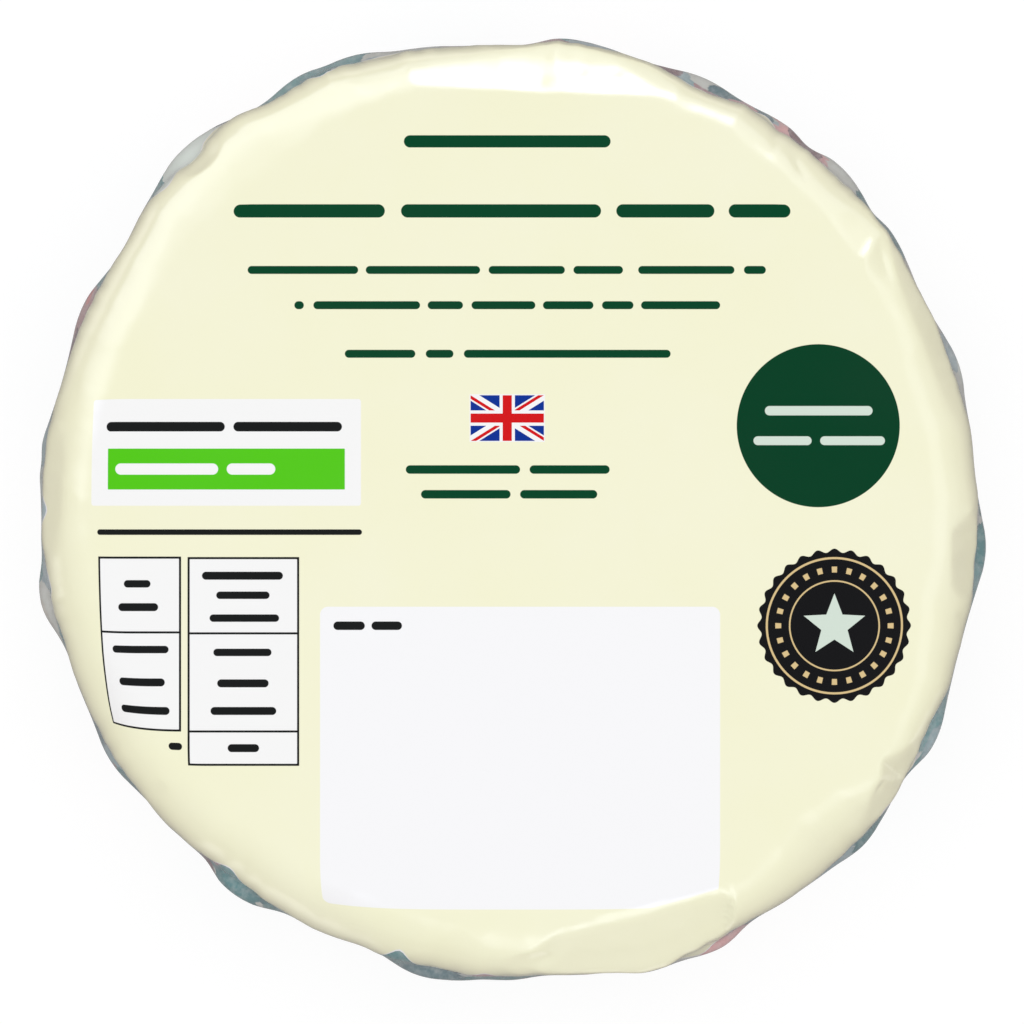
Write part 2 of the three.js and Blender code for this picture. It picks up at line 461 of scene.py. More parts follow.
def section_rings():
    """Radius and level of each ring of the film, from the label's middle to the base's."""
    exponent = np.interp(turns, *zip(*FULLNESS), period=FULL_TURN)
    shoulder = shoulder_radius(turns)
    drum = shoulder - SHOULDER_RUN
    rim = crimped_radius(turns)
    belly = partly_crimped(BELLY_RADIUS, CRIMP_AT_BELLY)
    base = partly_crimped(BASE_RADIUS, CRIMP_AT_BASE)
    shoulder_level = HEIGHT - SHOULDER_DROP
    rings = [(drum * share, HEIGHT) for share in 1 - (1 - ring_shares(DRUM_RINGS)) ** DRUM_CROWDING]
    for share in ring_shares(SHOULDER_RINGS):
        out, down = quarter_ellipse(share, exponent)
        rings.append((drum + SHOULDER_RUN * out, HEIGHT - SHOULDER_DROP * down))
    for share in ring_shares(UPPER_SIDE_RINGS):
        rings.append((between(shoulder, rim, smooth(share)), between(shoulder_level, RIM_HEIGHT, share)))
    for share in ring_shares(BELLY_RINGS):
        rings.append((between(rim, belly, smooth(share)), between(RIM_HEIGHT, BELLY_HEIGHT, share)))
    for share in ring_shares(FOOT_RINGS):
        down, inward = quarter_ellipse(share, FOOT_SQUARENESS)
        rings.append((between(belly, base, inward), between(BELLY_HEIGHT, 0, down)))
    rings += [(base * share, 0) for share in ring_shares(BASE_RINGS)[-2::-1]]
    radius = np.array([ring[0] for ring in rings])
    level = np.array([np.broadcast_to(ring[1], turns.shape) for ring in rings])
    return radius, level


radius, level = section_rings()
rings = len(radius)
rim_ring = RIM_END - 1
foot_ring = rings - BASE_RINGS
ring_numbers = np.arange(rings)[:, None]
turn_grid = np.broadcast_to(turns, radius.shape)
ring_x = radius * np.cos(np.radians(turn_grid))
ring_y = radius * np.sin(np.radians(turn_grid))
middle_x = (ring_x.max() + ring_x.min()) / 2
middle_y = (ring_y.max() + ring_y.min()) / 2
smooth_film = np.stack([ring_x - middle_x, ring_y - middle_y, level], axis=-1)
print("net of points:", rings, "rings of", SEGMENTS)

# %% [markdown]
# ## Places on the flat film
# Print lies on flat film before the film is shrunk over the pie. To let it bend over the shoulder as
# the real print does, each point needs its place on the flat film: its distance from the label's
# middle, measured along the film. Near the rim the hot air has shrunk the film most, so the print is
# drawn together there, and the flat film's distance runs ahead of the pack's.
# The cream of the label ends just below the shoulder. Its edge wanders a little all round, and where
# the film was pulled askew by a crimp it rides up or hangs down.

# %% Places on the flat film
SHRINK_FROM = 42
SHRINK_RATE = 0.033
LABEL_EDGE_LEVEL = 38.6
LABEL_EDGE_WAVES = [(0.15, 7), (0.1, 17)]  # height, waves round the pack
LABEL_EDGE_LIFTS = [
    # direction, half-angle, how far the cream's edge is pulled up the shoulder, or down if negative
    (48.5, 3.0, 2.5),
    (57.5, 3.0, -2.5),
    (67.5, 4.0, -0.6),
    (76.5, 4.0, 1.0),
    (105.0, 6.0, -2.0),
    (113.5, 4.0, 3.5),
    (128.0, 5.0, -2.4),
    (137.0, 4.8, 4.2),
    (172.5, 3.5, -0.9),
    (180, 3.0, 2.6),
    (189, 4.0, 2.5),
    (231.5, 3.5, 3.5),
    (240.5, 3.0, -1.6),
    (255.5, 3.5, 4.5),
    (266.5, 3.5, 3.2),
    (273, 4.0, -1.8),
    (292.5, 4.0, -3.2),
    (297.5, 2.0, 2.4),
    (301.5, 2.5, -1.6),
    (311, 3.0, -0.6),
    (321, 3.0, 1.6),
    (327.0, 3.0, -2.8),
    (334.0, 3.5, 3.0),
    (348, 2.5, -1.4),
    (359.5, 3.5, 1.8),
]

steps_out = np.diff(radius, axis=0, prepend=0)
steps_down = np.diff(level, axis=0, prepend=HEIGHT)
film_distance = np.cumsum(np.hypot(steps_out, steps_down), axis=0)
print_distance = film_distance + SHRINK_RATE * np.maximum(film_distance - SHRINK_FROM, 0) ** 2
label_x = print_distance * np.cos(np.radians(turn_grid)) - middle_x
label_y = print_distance * np.sin(np.radians(turn_grid)) - middle_y


def label_edge_distance():
    """Where the cream ends in each direction, as a distance along the film."""
    waves = sum(height * np.sin(np.radians(count * turns)) for height, count in LABEL_EDGE_WAVES)
    edge_level = LABEL_EDGE_LEVEL + waves
    for at, half_angle, lift in LABEL_EDGE_LIFTS:
        edge_level = edge_level + lift * hump(turn_between(at, turns), half_angle)
    columns = zip(-edge_level, -level[:RIM_END].T, film_distance[:RIM_END].T)
    return np.array([np.interp(*column) for column in columns])


label_edge = label_edge_distance()
past_label = film_distance - label_edge
print("cream label across on the flat film, in mm:", round(2 * label_edge.mean(), 1))

# %% [markdown]
# ## Relief helpers
# Shrunken film has spans, where it stands tight between high points of the crust and cuts flat across
# the round of the shoulder, dimples, where it is drawn into a hollow, and creases, where spare film is
# pinched into a line. A cloth simulation would give wrinkles at random. Giving each one its own place
# keeps the pack the one it is, and a few small formulas are enough. A depth here is positive inward.

# %% Relief helpers
RELIEF_LEVELS = (34, 37)  # none at the first, full from the second on
SPAN_JOINT = 0.12
LEAST_FACING = 0.5
DIMPLE_BOWL = 1.2
CREASE_BANK = 1.5
CREASE_END_SHARE = 0.08

film_x, film_y, film_z = np.moveaxis(smooth_film, -1, 0)
on_top = soft_rise(film_z, *RELIEF_LEVELS) * (ring_numbers <= rim_ring)


def outward_directions(points):
    """The surface's outward direction at each point, from its neighbours up, down and around."""
    down = np.gradient(points, axis=0)
    around = np.roll(points, -1, axis=1) - np.roll(points, 1, axis=1)
    outward = np.cross(down, around)
    return outward / np.linalg.norm(outward, axis=-1, keepdims=True)


smooth_outward = outward_directions(smooth_film)


def film_over(at):
    """The point of the smooth film over a place on the label or the shoulder."""
    x, y = at[0] + middle_x, at[1] + middle_y
    column = round(math.degrees(math.atan2(y, x)) / FULL_TURN * SEGMENTS) % SEGMENTS
    upper_radius, upper_level = radius[:SHOULDER_END, column], level[:SHOULDER_END, column]
    return np.array([at[0], at[1], np.interp(math.hypot(x, y), upper_radius, upper_level)])


def span(at, bearing, tilt, rounding):
    """A flat span: how far the film stands out beyond a plane. The plane goes through the film over
    the given place and falls away along the bearing. The rounding softens its border."""
    turned, tilted = math.radians(bearing), math.radians(tilt)
    level_share = math.sin(tilted)
    facing = np.array([level_share * math.cos(turned), level_share * math.sin(turned), math.cos(tilted)])
    beyond = (smooth_film - film_over(at)) @ facing
    rounded = rounding * np.logaddexp(0, beyond / rounding)
    return on_top * rounded / np.maximum(smooth_outward @ facing, LEAST_FACING)


def highest_plane(planes):
    """Over a place where several planes meet, the film keeps to the highest of them."""
    return np.minimum.reduce([span(*plane) for plane in planes])


def joined(first, second):
    """The deeper of two reliefs, with the border between them rounded off."""
    return (first + second + np.hypot(first - second, SPAN_JOINT) - SPAN_JOINT) / 2


def dimple(at, half_length, half_width, bearing, depth):
    """A bowl with a clear border, seen from above, its long side along the bearing in degrees."""
    along_x = math.cos(math.radians(bearing))
    along_y = math.sin(math.radians(bearing))
    along = (film_x - at[0]) * along_x + (film_y - at[1]) * along_y
    across = (film_y - at[1]) * along_x - (film_x - at[0]) * along_y
    away = np.hypot(along / half_length, across / half_width)
    return depth * on_top * np.clip(1 - away ** 2, 0, 1) ** DIMPLE_BOWL


def crease(points, left_width, right_width, depth):
    """A line pressed into the film, or raised where depth is negative. It fades at both ends.
    The widths are those of its two banks, left and right of the way that the points run."""
    pressed = np.zeros_like(film_x)
    lengths = [math.dist(start, end) for start, end in zip(points, points[1:])]
    done = 0
    for (x0, y0), (x1, y1), length in zip(points, points[1:], lengths):
        way_x, way_y = (x1 - x0) / length, (y1 - y0) / length
        along = (film_x - x0) * way_x + (film_y - y0) * way_y
        left = (film_y - y0) * way_x - (film_x - x0) * way_y
        beyond = along - np.clip(along, 0, length)
        away = np.hypot(left, beyond) / np.where(left > 0, left_width, right_width)
        share = (done + np.clip(along, 0, length)) / sum(lengths)
        strength = np.sin(math.pi * between(CREASE_END_SHARE, 1 - CREASE_END_SHARE, share))
        pressed = np.maximum(pressed, np.exp(-away ** CREASE_BANK) * strength)
        done += length
    return depth * on_top * pressed


print("share of the net that this relief may touch:", round(float((on_top > 0).mean()), 2))

# %% [markdown]
# ## The shoulder's spans, dimples and creases
# The large spans lie over the solid's own five hollows and over the flat sides of the rim. Along the
# upper side of the label one long span tilts just enough to mirror the lamp behind the pack, and is the
# brightest thing on it. The dimples and the creases are a few tenths of a millimetre deep at most. They
# would never matter to how the pack lies, but they are what the light catches.

# %% Spans, dimples and creases
SPANS = [
    # planes: a place on the inner border, bearing, tilt, rounding. The highest of them counts.
    [((2.9, 42.6), 87.6, 27, 0.12)],
    [((-16.3, 40.4), 112, 20, 0.25)],
    [((18.9, 42.0), 74, 38, 0.06)],
    [((-25.4, 32.5), 128, 11, 0.30)],
    [((-36.4, 21.0), 150, 11, 0.30)],
    [((31.3, 33.6), 47, 41, 0.25)],
    [((35.7, 25.8), 36, 23, 0.20)],
    [((39.2, 26.5), 20, 62, 0.12)],
    [((47.0, -1.0), -31, 64, 0.10), ((45.8, -6.0), -3, 64, 0.10), ((46.3, -9.0), 14, 64, 0.10)],
    [((37.0, -32.0), -35, 66, 0.08)],
    [((40.0, -25.6), -56, 60, 0.10), ((38.7, -27.2), -8, 62, 0.10), ((39.0, -28.9), 30, 62, 0.10)],
    [((11.3, -42.8), -75.6, 38, 0.20), ((3.4, -45.4), -60.6, 45, 0.10), ((23.3, -42.4), 200, 60, 0.10)],
    [((-47.2, 2.0), 177, 62, 0.15)],
]
DIMPLES = [
    # middle, half-length, half-width, bearing, depth
    ((-33.0, 36.9), 2.8, 1.4, 37, 0.52),
    ((1.8, -47.8), 2.6, 1.2, 5, 0.30),
    ((-37.5, -29.6), 1.3, 1.1, 45, 0.14),
    ((35.4, -25.8), 1.2, 1.0, 0, -0.05),
    ((-28.6, 40.0), 1.6, 0.9, 25, 0.12),
]
CREASES = [
    # points, left bank, right bank, depth
    ([(28.1, 40.4), (27.7, 38.8), (27.3, 37.4)], 0.9, 0.8, 0.20),
    ([(29.4, 38.2), (30.0, 36.4), (31.0, 34.4)], 0.9, 0.9, 0.26),
    ([(39.3, 29.8), (37.7, 27.2), (36.2, 24.9)], 1.1, 0.8, -0.32),
    ([(38.9, 28.4), (39.2, 26.2), (39.8, 24.2)], 0.6, 0.9, 0.20),
    ([(0.7, 46.6), (0.9, 45.7), (1.3, 44.8)], 0.5, 0.5, 0.07),
    ([(2.8, 46.2), (3.0, 45.2), (3.4, 44.4)], 0.8, 0.8, 0.10),
    ([(7.0, 47.0), (7.4, 45.6)], 0.6, 0.6, 0.06),
    ([(10.6, 47.0), (11.0, 45.6)], 0.7, 0.7, 0.07),
    ([(47.6, -0.4), (48.6, 0.4)], 0.45, 0.45, -0.20),
    ([(47.0, -10.6), (47.6, -12.0)], 0.5, 0.5, 0.14),
    ([(39.3, -29.0), (38.9, -29.6), (38.6, -30.2)], 0.5, 0.5, 0.14),
    ([(22.0, -39.9), (22.9, -41.2), (23.4, -42.1)], 0.6, 0.6, -0.22),
    ([(-48.6, 8.6), (-47.2, 8.8)], 0.4, 0.4, -0.14),
]

spanned = functools.reduce(joined, map(highest_plane, SPANS))
pressed_in = spanned + sum(dimple(*place) for place in DIMPLES) + sum(crease(*line) for line in CREASES)
deepest, highest = float(pressed_in.max()), float(-pressed_in.min())
print("deepest relief in mm:", round(deepest, 2), "highest:", round(highest, 2))

# %% [markdown]
# ## Pinches at the rim
# Between some crimps the crust dips further in than a straight span would show, and there the film
# is drawn in after it. A few spans bulge out a little instead.

# %% Pinches
PINCH_LEVEL = 35
PINCH_HALF_HEIGHT = 15
PINCH_REACH = (38, 44)  # from the middle: none at the first, full from the second on
PINCHES = [
    # direction, half-angle, depth
    (121.5, 7, 0.65),
    (147, 7, 0.38),
    (197, 6, 0.42),
    (51, 3.5, 0.34),
    (39.5, 3, 0.26),
    (88.5, 4, 0.26),
    (228.5, 3.5, 0.32),
    (240.5, 4, 0.32),
    (252, 5, 0.42),
    (282.5, 4, 0.3),
    (300, 5, 0.42),
    (325.5, 5, 0.38),
    (9, 6, -0.26),
    (222, 4, -0.28),
    (264, 3, -0.18),
    (78, 4, -0.18),
    (132, 5, 0.20),
    (27, 5, 0.18),
    (313, 4, 0.14),
    (273.5, 4, 0.16),
    (174, 2.5, 0.20),
    (186, 3, 0.14),
]

pinched = sum(depth * hump(turn_between(at, turn_grid), reach) for at, reach, depth in PINCHES)
pinched = pinched * hump(film_z - PINCH_LEVEL, PINCH_HALF_HEIGHT) * soft_rise(radius, *PINCH_REACH)
pressed_in = pressed_in + pinched
print("deepest pinch in mm:", round(float(pinched.max()), 2))

# %% [markdown]
# ## Facets
# Between its high points shrunken film spans like a tent: each span is a shallow hollow, and where two
# of them meet the film bends sharply. The spans run longer down the shoulder than round it, because
# the pull is from the drum to the crimps. The distance to the nearest of many scattered points has
# just this form: squared, it is a field of shallow bowls with sharp borders.

# %% Facets
FACETS = 150
FACET_BAND = (38, 58)  # along the film, where the points are scattered
FACET_DISTANCES = (41, 46)  # along the film: none at the first, full from the second on
FACET_LEVELS = (33, 39)
FACET_STRETCH = 1.9
FACET_SIZE = 3.6
FACET_DEPTH = 0.12

facet_draw = np.random.default_rng(46)
nearest_facet = np.full(film_x.shape, np.inf)
for _ in range(FACETS):
    facet_at = facet_draw.uniform(0, FULL_TURN)
    facet_from_middle = facet_draw.uniform(*FACET_BAND)
    round_away = np.radians(turn_between(facet_at, turn_grid)) * film_distance
    down_away = (film_distance - facet_from_middle) / FACET_STRETCH
    nearest_facet = np.minimum(nearest_facet, np.hypot(round_away, down_away))
facet_share = soft_rise(film_distance, *FACET_DISTANCES) * soft_rise(film_z, *FACET_LEVELS)
facets = FACET_DEPTH * (1 - np.minimum(nearest_facet / FACET_SIZE, 1) ** 2) * facet_share
pressed_in = pressed_in + facets
print("facets up to mm:", round(float(facets.max()), 3))

# %% [markdown]
# ## Ripples, and a drum that isn't quite flat
# At each crimp the film is under tension one way and slack the other, so fine ripples fan out from it
# up the shoulder. Their places, spacing and depth are drawn from a seeded list, so each run makes the
# same pack. The label face itself waves by a few hundredths of a millimetre over the lid.

# %% Ripples and drum
RIPPLE_TURN = 2.6
RIPPLE_TURN_SHARES = (0.8, 1.5)
RIPPLE_SPREAD = 7
RIPPLE_OFF_CRIMP = 1.5
RIPPLE_DEPTH = 0.05
RIPPLE_DEPTH_SHARES = (0.4, 1.3)
RIPPLE_LEVELS = [(35, 41), (46, 41)]  # they start and end softly, up the shoulder and on the drum
DRUM_WAVES = 7
DRUM_WAVE_DEPTH = 0.045
DRUM_WAVELENGTHS = (22, 48)
DRUM_LEVELS = (43, 46)

random_draw = np.random.default_rng(290)
ripples = np.zeros_like(film_x)
for at in crimp_at:
    away = turn_between(at + random_draw.uniform(-RIPPLE_OFF_CRIMP, RIPPLE_OFF_CRIMP), turn_grid)
    wave_turn = RIPPLE_TURN * random_draw.uniform(*RIPPLE_TURN_SHARES)
    depth = RIPPLE_DEPTH * random_draw.uniform(*RIPPLE_DEPTH_SHARES)
    ripples += depth * np.cos(2 * math.pi * away / wave_turn) * hump(away, RIPPLE_SPREAD)
for levels in RIPPLE_LEVELS:
    ripples *= soft_rise(film_z, *levels)

drum_waves = np.zeros_like(film_x)
for _ in range(DRUM_WAVES):
    bearing = random_draw.uniform(0, 2 * math.pi)
    wavelength = random_draw.uniform(*DRUM_WAVELENGTHS)
    phase = random_draw.uniform(0, 2 * math.pi)
    along = film_x * math.cos(bearing) + film_y * math.sin(bearing)
    drum_waves += np.cos(2 * math.pi * along / wavelength + phase)
drum_waves *= DRUM_WAVE_DEPTH * soft_rise(film_z, *DRUM_LEVELS) / math.sqrt(DRUM_WAVES)
pressed_in = pressed_in + ripples + drum_waves
print("ripples up to mm:", round(float(np.abs(ripples).max()), 3))
print("drum waves up to mm:", round(float(np.abs(drum_waves).max()), 3))

# %% [markdown]
# ## The side and the base
# Below the crimps the bag has more film than the pie needs, and shrinking gathers it into soft upright
# flutes. Underneath, the flutes sharpen into pleats that run in towards the middle, where the bag was
# sealed with a flat seam right across. The seam and the foot are the lowest places, and the film
# between them lies a fraction higher, so the pack still rests on the flat that the solid has.

# %% Flutes, pleats and seam
FLUTES = 46
FLUTE_DEPTH = 0.42
FLUTE_LEVELS = (34, 20)  # none at the first, full from the second down
UNEVEN_WAVES = [(1.1, 3, 0.7), (0.8, 7, 2.1), (0.5, 13, 0)]  # size, waves round the pack, phase
FLUTE_SHIFT = 2.4
PLEAT_SHIFT = 0.38
PLEAT_DEPTH = 0.55
PLEAT_REACHES = [(6, 20), (42.5, 36.5)]
BASE_LIFT = 0.25
BASE_LIFT_REACH = (41.5, 37.5)
SEAM_SIDE = (4.5, 5.9)

flute_turn = np.radians(turn_grid)
uneven = sum(size * np.sin(count * flute_turn + phase) for size, count, phase in UNEVEN_WAVES)
flute_wave = 0.5 + 0.5 * np.cos(FLUTES * flute_turn + FLUTE_SHIFT * uneven)
flute_size = 0.65 + 0.35 * np.sin(5 * flute_turn + 1.3) * np.sin(11 * flute_turn)
down_side = soft_rise(film_z, *FLUTE_LEVELS) * (ring_numbers > rim_ring)
under = ring_numbers >= foot_ring
flutes = FLUTE_DEPTH * flute_size * flute_wave ** 2 * down_side * ~under

pleat_phase = np.mod(FLUTES * flute_turn / (2 * math.pi) + PLEAT_SHIFT * uneven, 1)
pleats = PLEAT_DEPTH * (1 - np.abs(pleat_phase * 2 - 1)) ** 2
for reach in PLEAT_REACHES:
    pleats = pleats * soft_rise(radius, *reach)
base_lift = (BASE_LIFT + pleats) * soft_rise(np.abs(film_y), *SEAM_SIDE)
base_lift = base_lift * soft_rise(radius, *BASE_LIFT_REACH) * under
pressed_in = pressed_in + flutes + base_lift
print("flutes up to mm:", round(float(flutes.max()), 2), "pleats:", round(float(base_lift.max()), 2))

# %% [markdown]
# ## Pressing the relief in
# Each point moves along the surface's own outward direction. Afterwards the film is drawn to the solid's
# box, a matter of hundredths of a millimetre, so that it is no bigger than the part.
# The machine that wraps the pack lays the print straight over it, so where the relief has moved a point
# sideways, its place on the label moves with it.

# %% The finished net of points
film_points = smooth_film - smooth_outward * pressed_in[..., None]
solid_low, solid_high = (np.array(corner) / MM for corner in solid_box)
film_middle = (film_points.max(axis=(0, 1)) + film_points.min(axis=(0, 1))) / 2
film_points[..., :2] -= film_middle[:2]
fit = np.minimum((solid_high - solid_low)[:2] / np.ptp(film_points[..., :2], axis=(0, 1)), 1)
film_points[..., :2] *= fit
film_points[..., 2] = np.clip(film_points[..., 2], 0, HEIGHT)
label_x = label_x + (film_points - smooth_film)[..., 0]
label_y = label_y + (film_points - smooth_film)[..., 1]
print("drawn to the solid's box by", np.round((1 - fit) * 100, 3), "%")

# %% [markdown]
# ## The mesh
# Neighbouring rings are joined by four-sided faces, with a fan of triangles at the middle of the label
# and another at the middle of the base. Each face corner remembers its ring and its place round the
# ring, because the maps that follow are worked out from those.

# %% The mesh
def corner_grid():
    """For each four-sided face the ring and the segment of its corners, anticlockwise from outside."""
    ring, segment = np.meshgrid(np.arange(rings - 1), np.arange(SEGMENTS), indexing="ij")
    corner_rings = np.stack([ring, ring + 1, ring + 1, ring], axis=-1).reshape(-1, 4)
    corner_segments = np.stack([segment, segment, segment + 1, segment + 1], axis=-1).reshape(-1, 4)
    return corner_rings, corner_segments


corner_rings, corner_segments = corner_grid()
quads = corner_rings * SEGMENTS + corner_segments % SEGMENTS
label_middle = rings * SEGMENTS
base_middle = label_middle + 1
here = np.arange(SEGMENTS)
following = (here + 1) % SEGMENTS
last_ring = (rings - 1) * SEGMENTS
label_fan = np.stack([np.full(SEGMENTS, label_middle), here, following], axis=-1)
base_fan = np.stack([np.full(SEGMENTS, base_middle), last_ring + following, last_ring + here], axis=-1)

middles = [(0, 0, film_points[0, :, 2].mean()), (0, 0, film_points[-1, :, 2].mean())]
vertices = np.concatenate([film_points.reshape(-1, 3), middles]) * MM
film_mesh = bpy.data.meshes.new("wrapped_pie_film")
film_mesh.from_pydata(vertices.tolist(), [], quads.tolist() + label_fan.tolist() + base_fan.tolist())
film_mesh.polygons.foreach_set("use_smooth", np.ones(len(film_mesh.polygons), bool))
film = bpy.data.objects.new("wrapped_pie_film", film_mesh)
scene.collection.objects.link(film)
print("faces:", len(film_mesh.polygons))

# %% [markdown]
# ## Maps on the mesh
# Three things are stored with the mesh for the materials to read. The map "label" is the flat film
# seen as a drawing: its numbers are millimetres divided by 200, with the label's middle at one half.
# The attribute "past_label" is the distance beyond the cream's edge. The last map lays the whole
# surface out without overlaps, with most of the room for the label, for anyone who paints or bakes it.

# %% Maps on the mesh
MAP_SIDE = 200
LABEL_DISC = (0.365, 0.635, 0.355)  # middle and radius, as shares of the map
BASE_DISC = (0.14, 0.135, 0.128)
SIDE_STRIPS = [(0.735, 0.86), (0.87, 0.995)]
STRIP_MARGIN = 0.005

loop_vertices = np.empty(len(film_mesh.loops), int)
film_mesh.loops.foreach_get("vertex_index", loop_vertices)

label_places = np.stack([label_x.ravel(), label_y.ravel()], axis=-1)
far_out = label_places[-SEGMENTS:].mean(axis=0)
label_places = np.concatenate([label_places, [(0, 0), far_out]])
label_map = film_mesh.uv_layers.new(name="label")
label_map.data.foreach_set("uv", (label_places[loop_vertices] / MAP_SIDE + 0.5).ravel())

edge_attribute = film_mesh.attributes.new("past_label", "FLOAT", "POINT")
edge_values = np.concatenate([past_label.ravel(), [-label_edge.mean(), past_label.max()]])
edge_attribute.data.foreach_set("value", edge_values.astype(np.float32))


def disc_places(disc, distance, segment):
    """Places on a disc of the map, at shares of its radius."""
    centre_x, centre_y, size = disc
    turn = 2 * math.pi * segment / SEGMENTS
    reach = size * distance
    return np.stack([centre_x + reach * np.cos(turn), centre_y + reach * np.sin(turn)], axis=-1)


def side_places(side_share):
    """Places on the two upright strips of the map, each for half of the way round."""
    half_turn = SEGMENTS // 2
    second_half = corner_segments[:, :1] >= half_turn
    (first_low, first_high), (second_low, _) = SIDE_STRIPS
    strip_low = np.where(second_half, second_low, first_low)
    round_share = (corner_segments - np.where(second_half, half_turn, 0)) / half_turn
    upward = STRIP_MARGIN + (1 - 2 * STRIP_MARGIN) * round_share
    return np.stack([strip_low + (first_high - first_low) * side_share, upward], axis=-1)


def bake_map():
    """Corner by corner: the label as one disc, the side as two upright strips, the base as a disc."""
    far = film_distance.mean(axis=1)
    to_rim, to_foot, whole = far[rim_ring], far[foot_ring], far[-1] + far[0]
    label_share = far[corner_rings] / to_rim
    side_share = (far[corner_rings] - to_rim) / (to_foot - to_rim)
    base_share = (whole - far[corner_rings]) / (whole - to_foot)
    first_ring = corner_rings[:, :1, None]
    label = disc_places(LABEL_DISC, label_share, corner_segments)
    base = disc_places(BASE_DISC, base_share, -corner_segments)
    below_label = np.where(first_ring < foot_ring, side_places(side_share), base)
    quad_places = np.where(first_ring < rim_ring, label, below_label)
    fan_share = np.array([0, 1, 1])
    label_fan_corners = np.stack([here + 0.5, here, here + 1], axis=-1)
    base_fan_corners = np.stack([here + 0.5, here + 1, here], axis=-1)
    label_centre = disc_places(LABEL_DISC, fan_share * far[0] / to_rim, label_fan_corners)
    base_centre = disc_places(BASE_DISC, fan_share * base_share.min(), -base_fan_corners)
    return np.concatenate([places.reshape(-1, 2) for places in (quad_places, label_centre, base_centre)])


whole_map = film_mesh.uv_layers.new(name="OFBake")
whole_map.data.foreach_set("uv", bake_map().ravel())
print("maps:", [layer.name for layer in film_mesh.uv_layers])

# %% [markdown]
# ## Helpers for print
# Print is worked out from places and laid on in layers of ink, like the real thing. So these helpers
# reckon with places, lay one colour over another, and make node groups and put them to use. Two of
# them read what the mesh holds: a point's place on the pack, and its distance past the label's edge.

# %% Helpers for print
def calculate_vector(tree, operation, *values):
    node = tree.nodes.new("ShaderNodeVectorMath")
    node.operation = operation
    for value, socket in zip(values, node.inputs):
        connect(tree, value, socket)
    return node.outputs["Value" if operation in ("LENGTH", "DOT_PRODUCT") else "Vector"]


def vector_of(tree, *parts):
    node = tree.nodes.new("ShaderNodeCombineXYZ")
    for value, socket in zip(parts, node.inputs):
        connect(tree, value, socket)
    return node.outputs["Vector"]


def lay_over(tree, under, mask, colour):
    """A colour, laid over another where the mask is 1."""
    node = tree.nodes.new("ShaderNodeMix")
    node.data_type = "RGBA"
    colours = [socket for socket in node.inputs if socket.type == "RGBA"]
    connect(tree, mask, node.inputs[0])
    connect(tree, under, colours[0])
    connect(tree, colour, colours[1])
    return next(socket for socket in node.outputs if socket.type == "RGBA")


def printed(tree, ground, *layers):
    """The ground with ink laid over it: each layer is a mask and its ink, the lowest first."""
    for mask, colour in layers:
        ground = lay_over(tree, ground, mask, colour)
    return ground


def place_on_pack(tree):
    return tree.nodes.new("ShaderNodeTexCoord").outputs["Object"]


def distance_past_label(tree):
    node = tree.nodes.new("ShaderNodeAttribute")
    node.attribute_name = "past_label"
    return node.outputs["Fac"]


def noise(tree, place, scale, detail=2.0, roughness=0.5, gives="Fac"):
    node = tree.nodes.new("ShaderNodeTexNoise")
    settings = (("Vector", place), ("Scale", scale), ("Detail", detail), ("Roughness", roughness))
    for name, value in settings:
        connect(tree, value, node.inputs[name])
    return node.outputs[gives]


def new_group(name, inputs, outputs):
    """An empty node group with named sockets. Gives the group, its inputs and its output node."""
    group = bpy.data.node_groups.new(name, "ShaderNodeTree")
    for socket_name, kind in inputs:
        group.interface.new_socket(socket_name, in_out="INPUT", socket_type="NodeSocket" + kind)
    for socket_name, kind in outputs:
        group.interface.new_socket(socket_name, in_out="OUTPUT", socket_type="NodeSocket" + kind)
    return group, group.nodes.new("NodeGroupInput").outputs, group.nodes.new("NodeGroupOutput")


def place_group(tree, group, **values):
    """A group placed in a material. A socket's name is given with _ for each space."""
    node = tree.nodes.new("ShaderNodeGroup")
    node.node_tree = group
    for name, value in values.items():
        connect(tree, value, node.inputs[name.replace("_", " ")])
    return node.outputs


def ink(red, green, blue):
    """An ink's colour as a screen shows it, 0 to 255, turned into the linear light that shaders use."""
    def linear(value):
        share = value / 255
        return share / 12.92 if share <= 0.04045 else ((share + 0.055) / 1.055) ** 2.4

    return (linear(red), linear(green), linear(blue), 1)


print("helpers for print ready")

# %% [markdown]
# ## One printed shape for everything
# A word seen from a step away is a soft bar, a panel is a rounded oblong, and an outline is the
# difference of two. All of them are the same formula: fold the drawing about the shape's middle, take
# away the straight part of its sides, and what is left is the distance to a rounded corner. So one
# group serves every printed shape, with its middle, its straight half-sides and its corner as inputs.

# %% Group: a printed oblong
INK_EDGE = 0.025


def printed_oblong_group():
    group, given, result = new_group(
        "printed_oblong",
        [("Place", "Vector"), ("Middle", "Vector"), ("Straight", "Vector"), ("Corner", "Float")],
        [("Mask", "Float")],
    )
    from_middle = calculate_vector(group, "SUBTRACT", given["Place"], given["Middle"])
    folded = calculate_vector(group, "ABSOLUTE", from_middle)
    past_straight = calculate_vector(group, "SUBTRACT", folded, given["Straight"])
    outside = calculate_vector(group, "MAXIMUM", past_straight, (0, 0, 0))
    past_corner = calculate(group, "SUBTRACT", calculate_vector(group, "LENGTH", outside), given["Corner"])
    group.links.new(fade(group, past_corner, INK_EDGE, -INK_EDGE), result.inputs["Mask"])
    return group


printed_oblong = printed_oblong_group()


def oblong(tree, place, left, right, bottom, top, corner=0.06):
    """The mask of an oblong on the label, by its sides in millimetres from the label's middle."""
    corner = min(corner, (right - left) / 2, (top - bottom) / 2)
    middle = ((left + right) / 2, (bottom + top) / 2, 0)
    straight = ((right - left) / 2 - corner, (top - bottom) / 2 - corner, 0)
    shape = {"Place": place, "Middle": middle, "Straight": straight, "Corner": corner}
    return place_group(tree, printed_oblong, **shape)["Mask"]


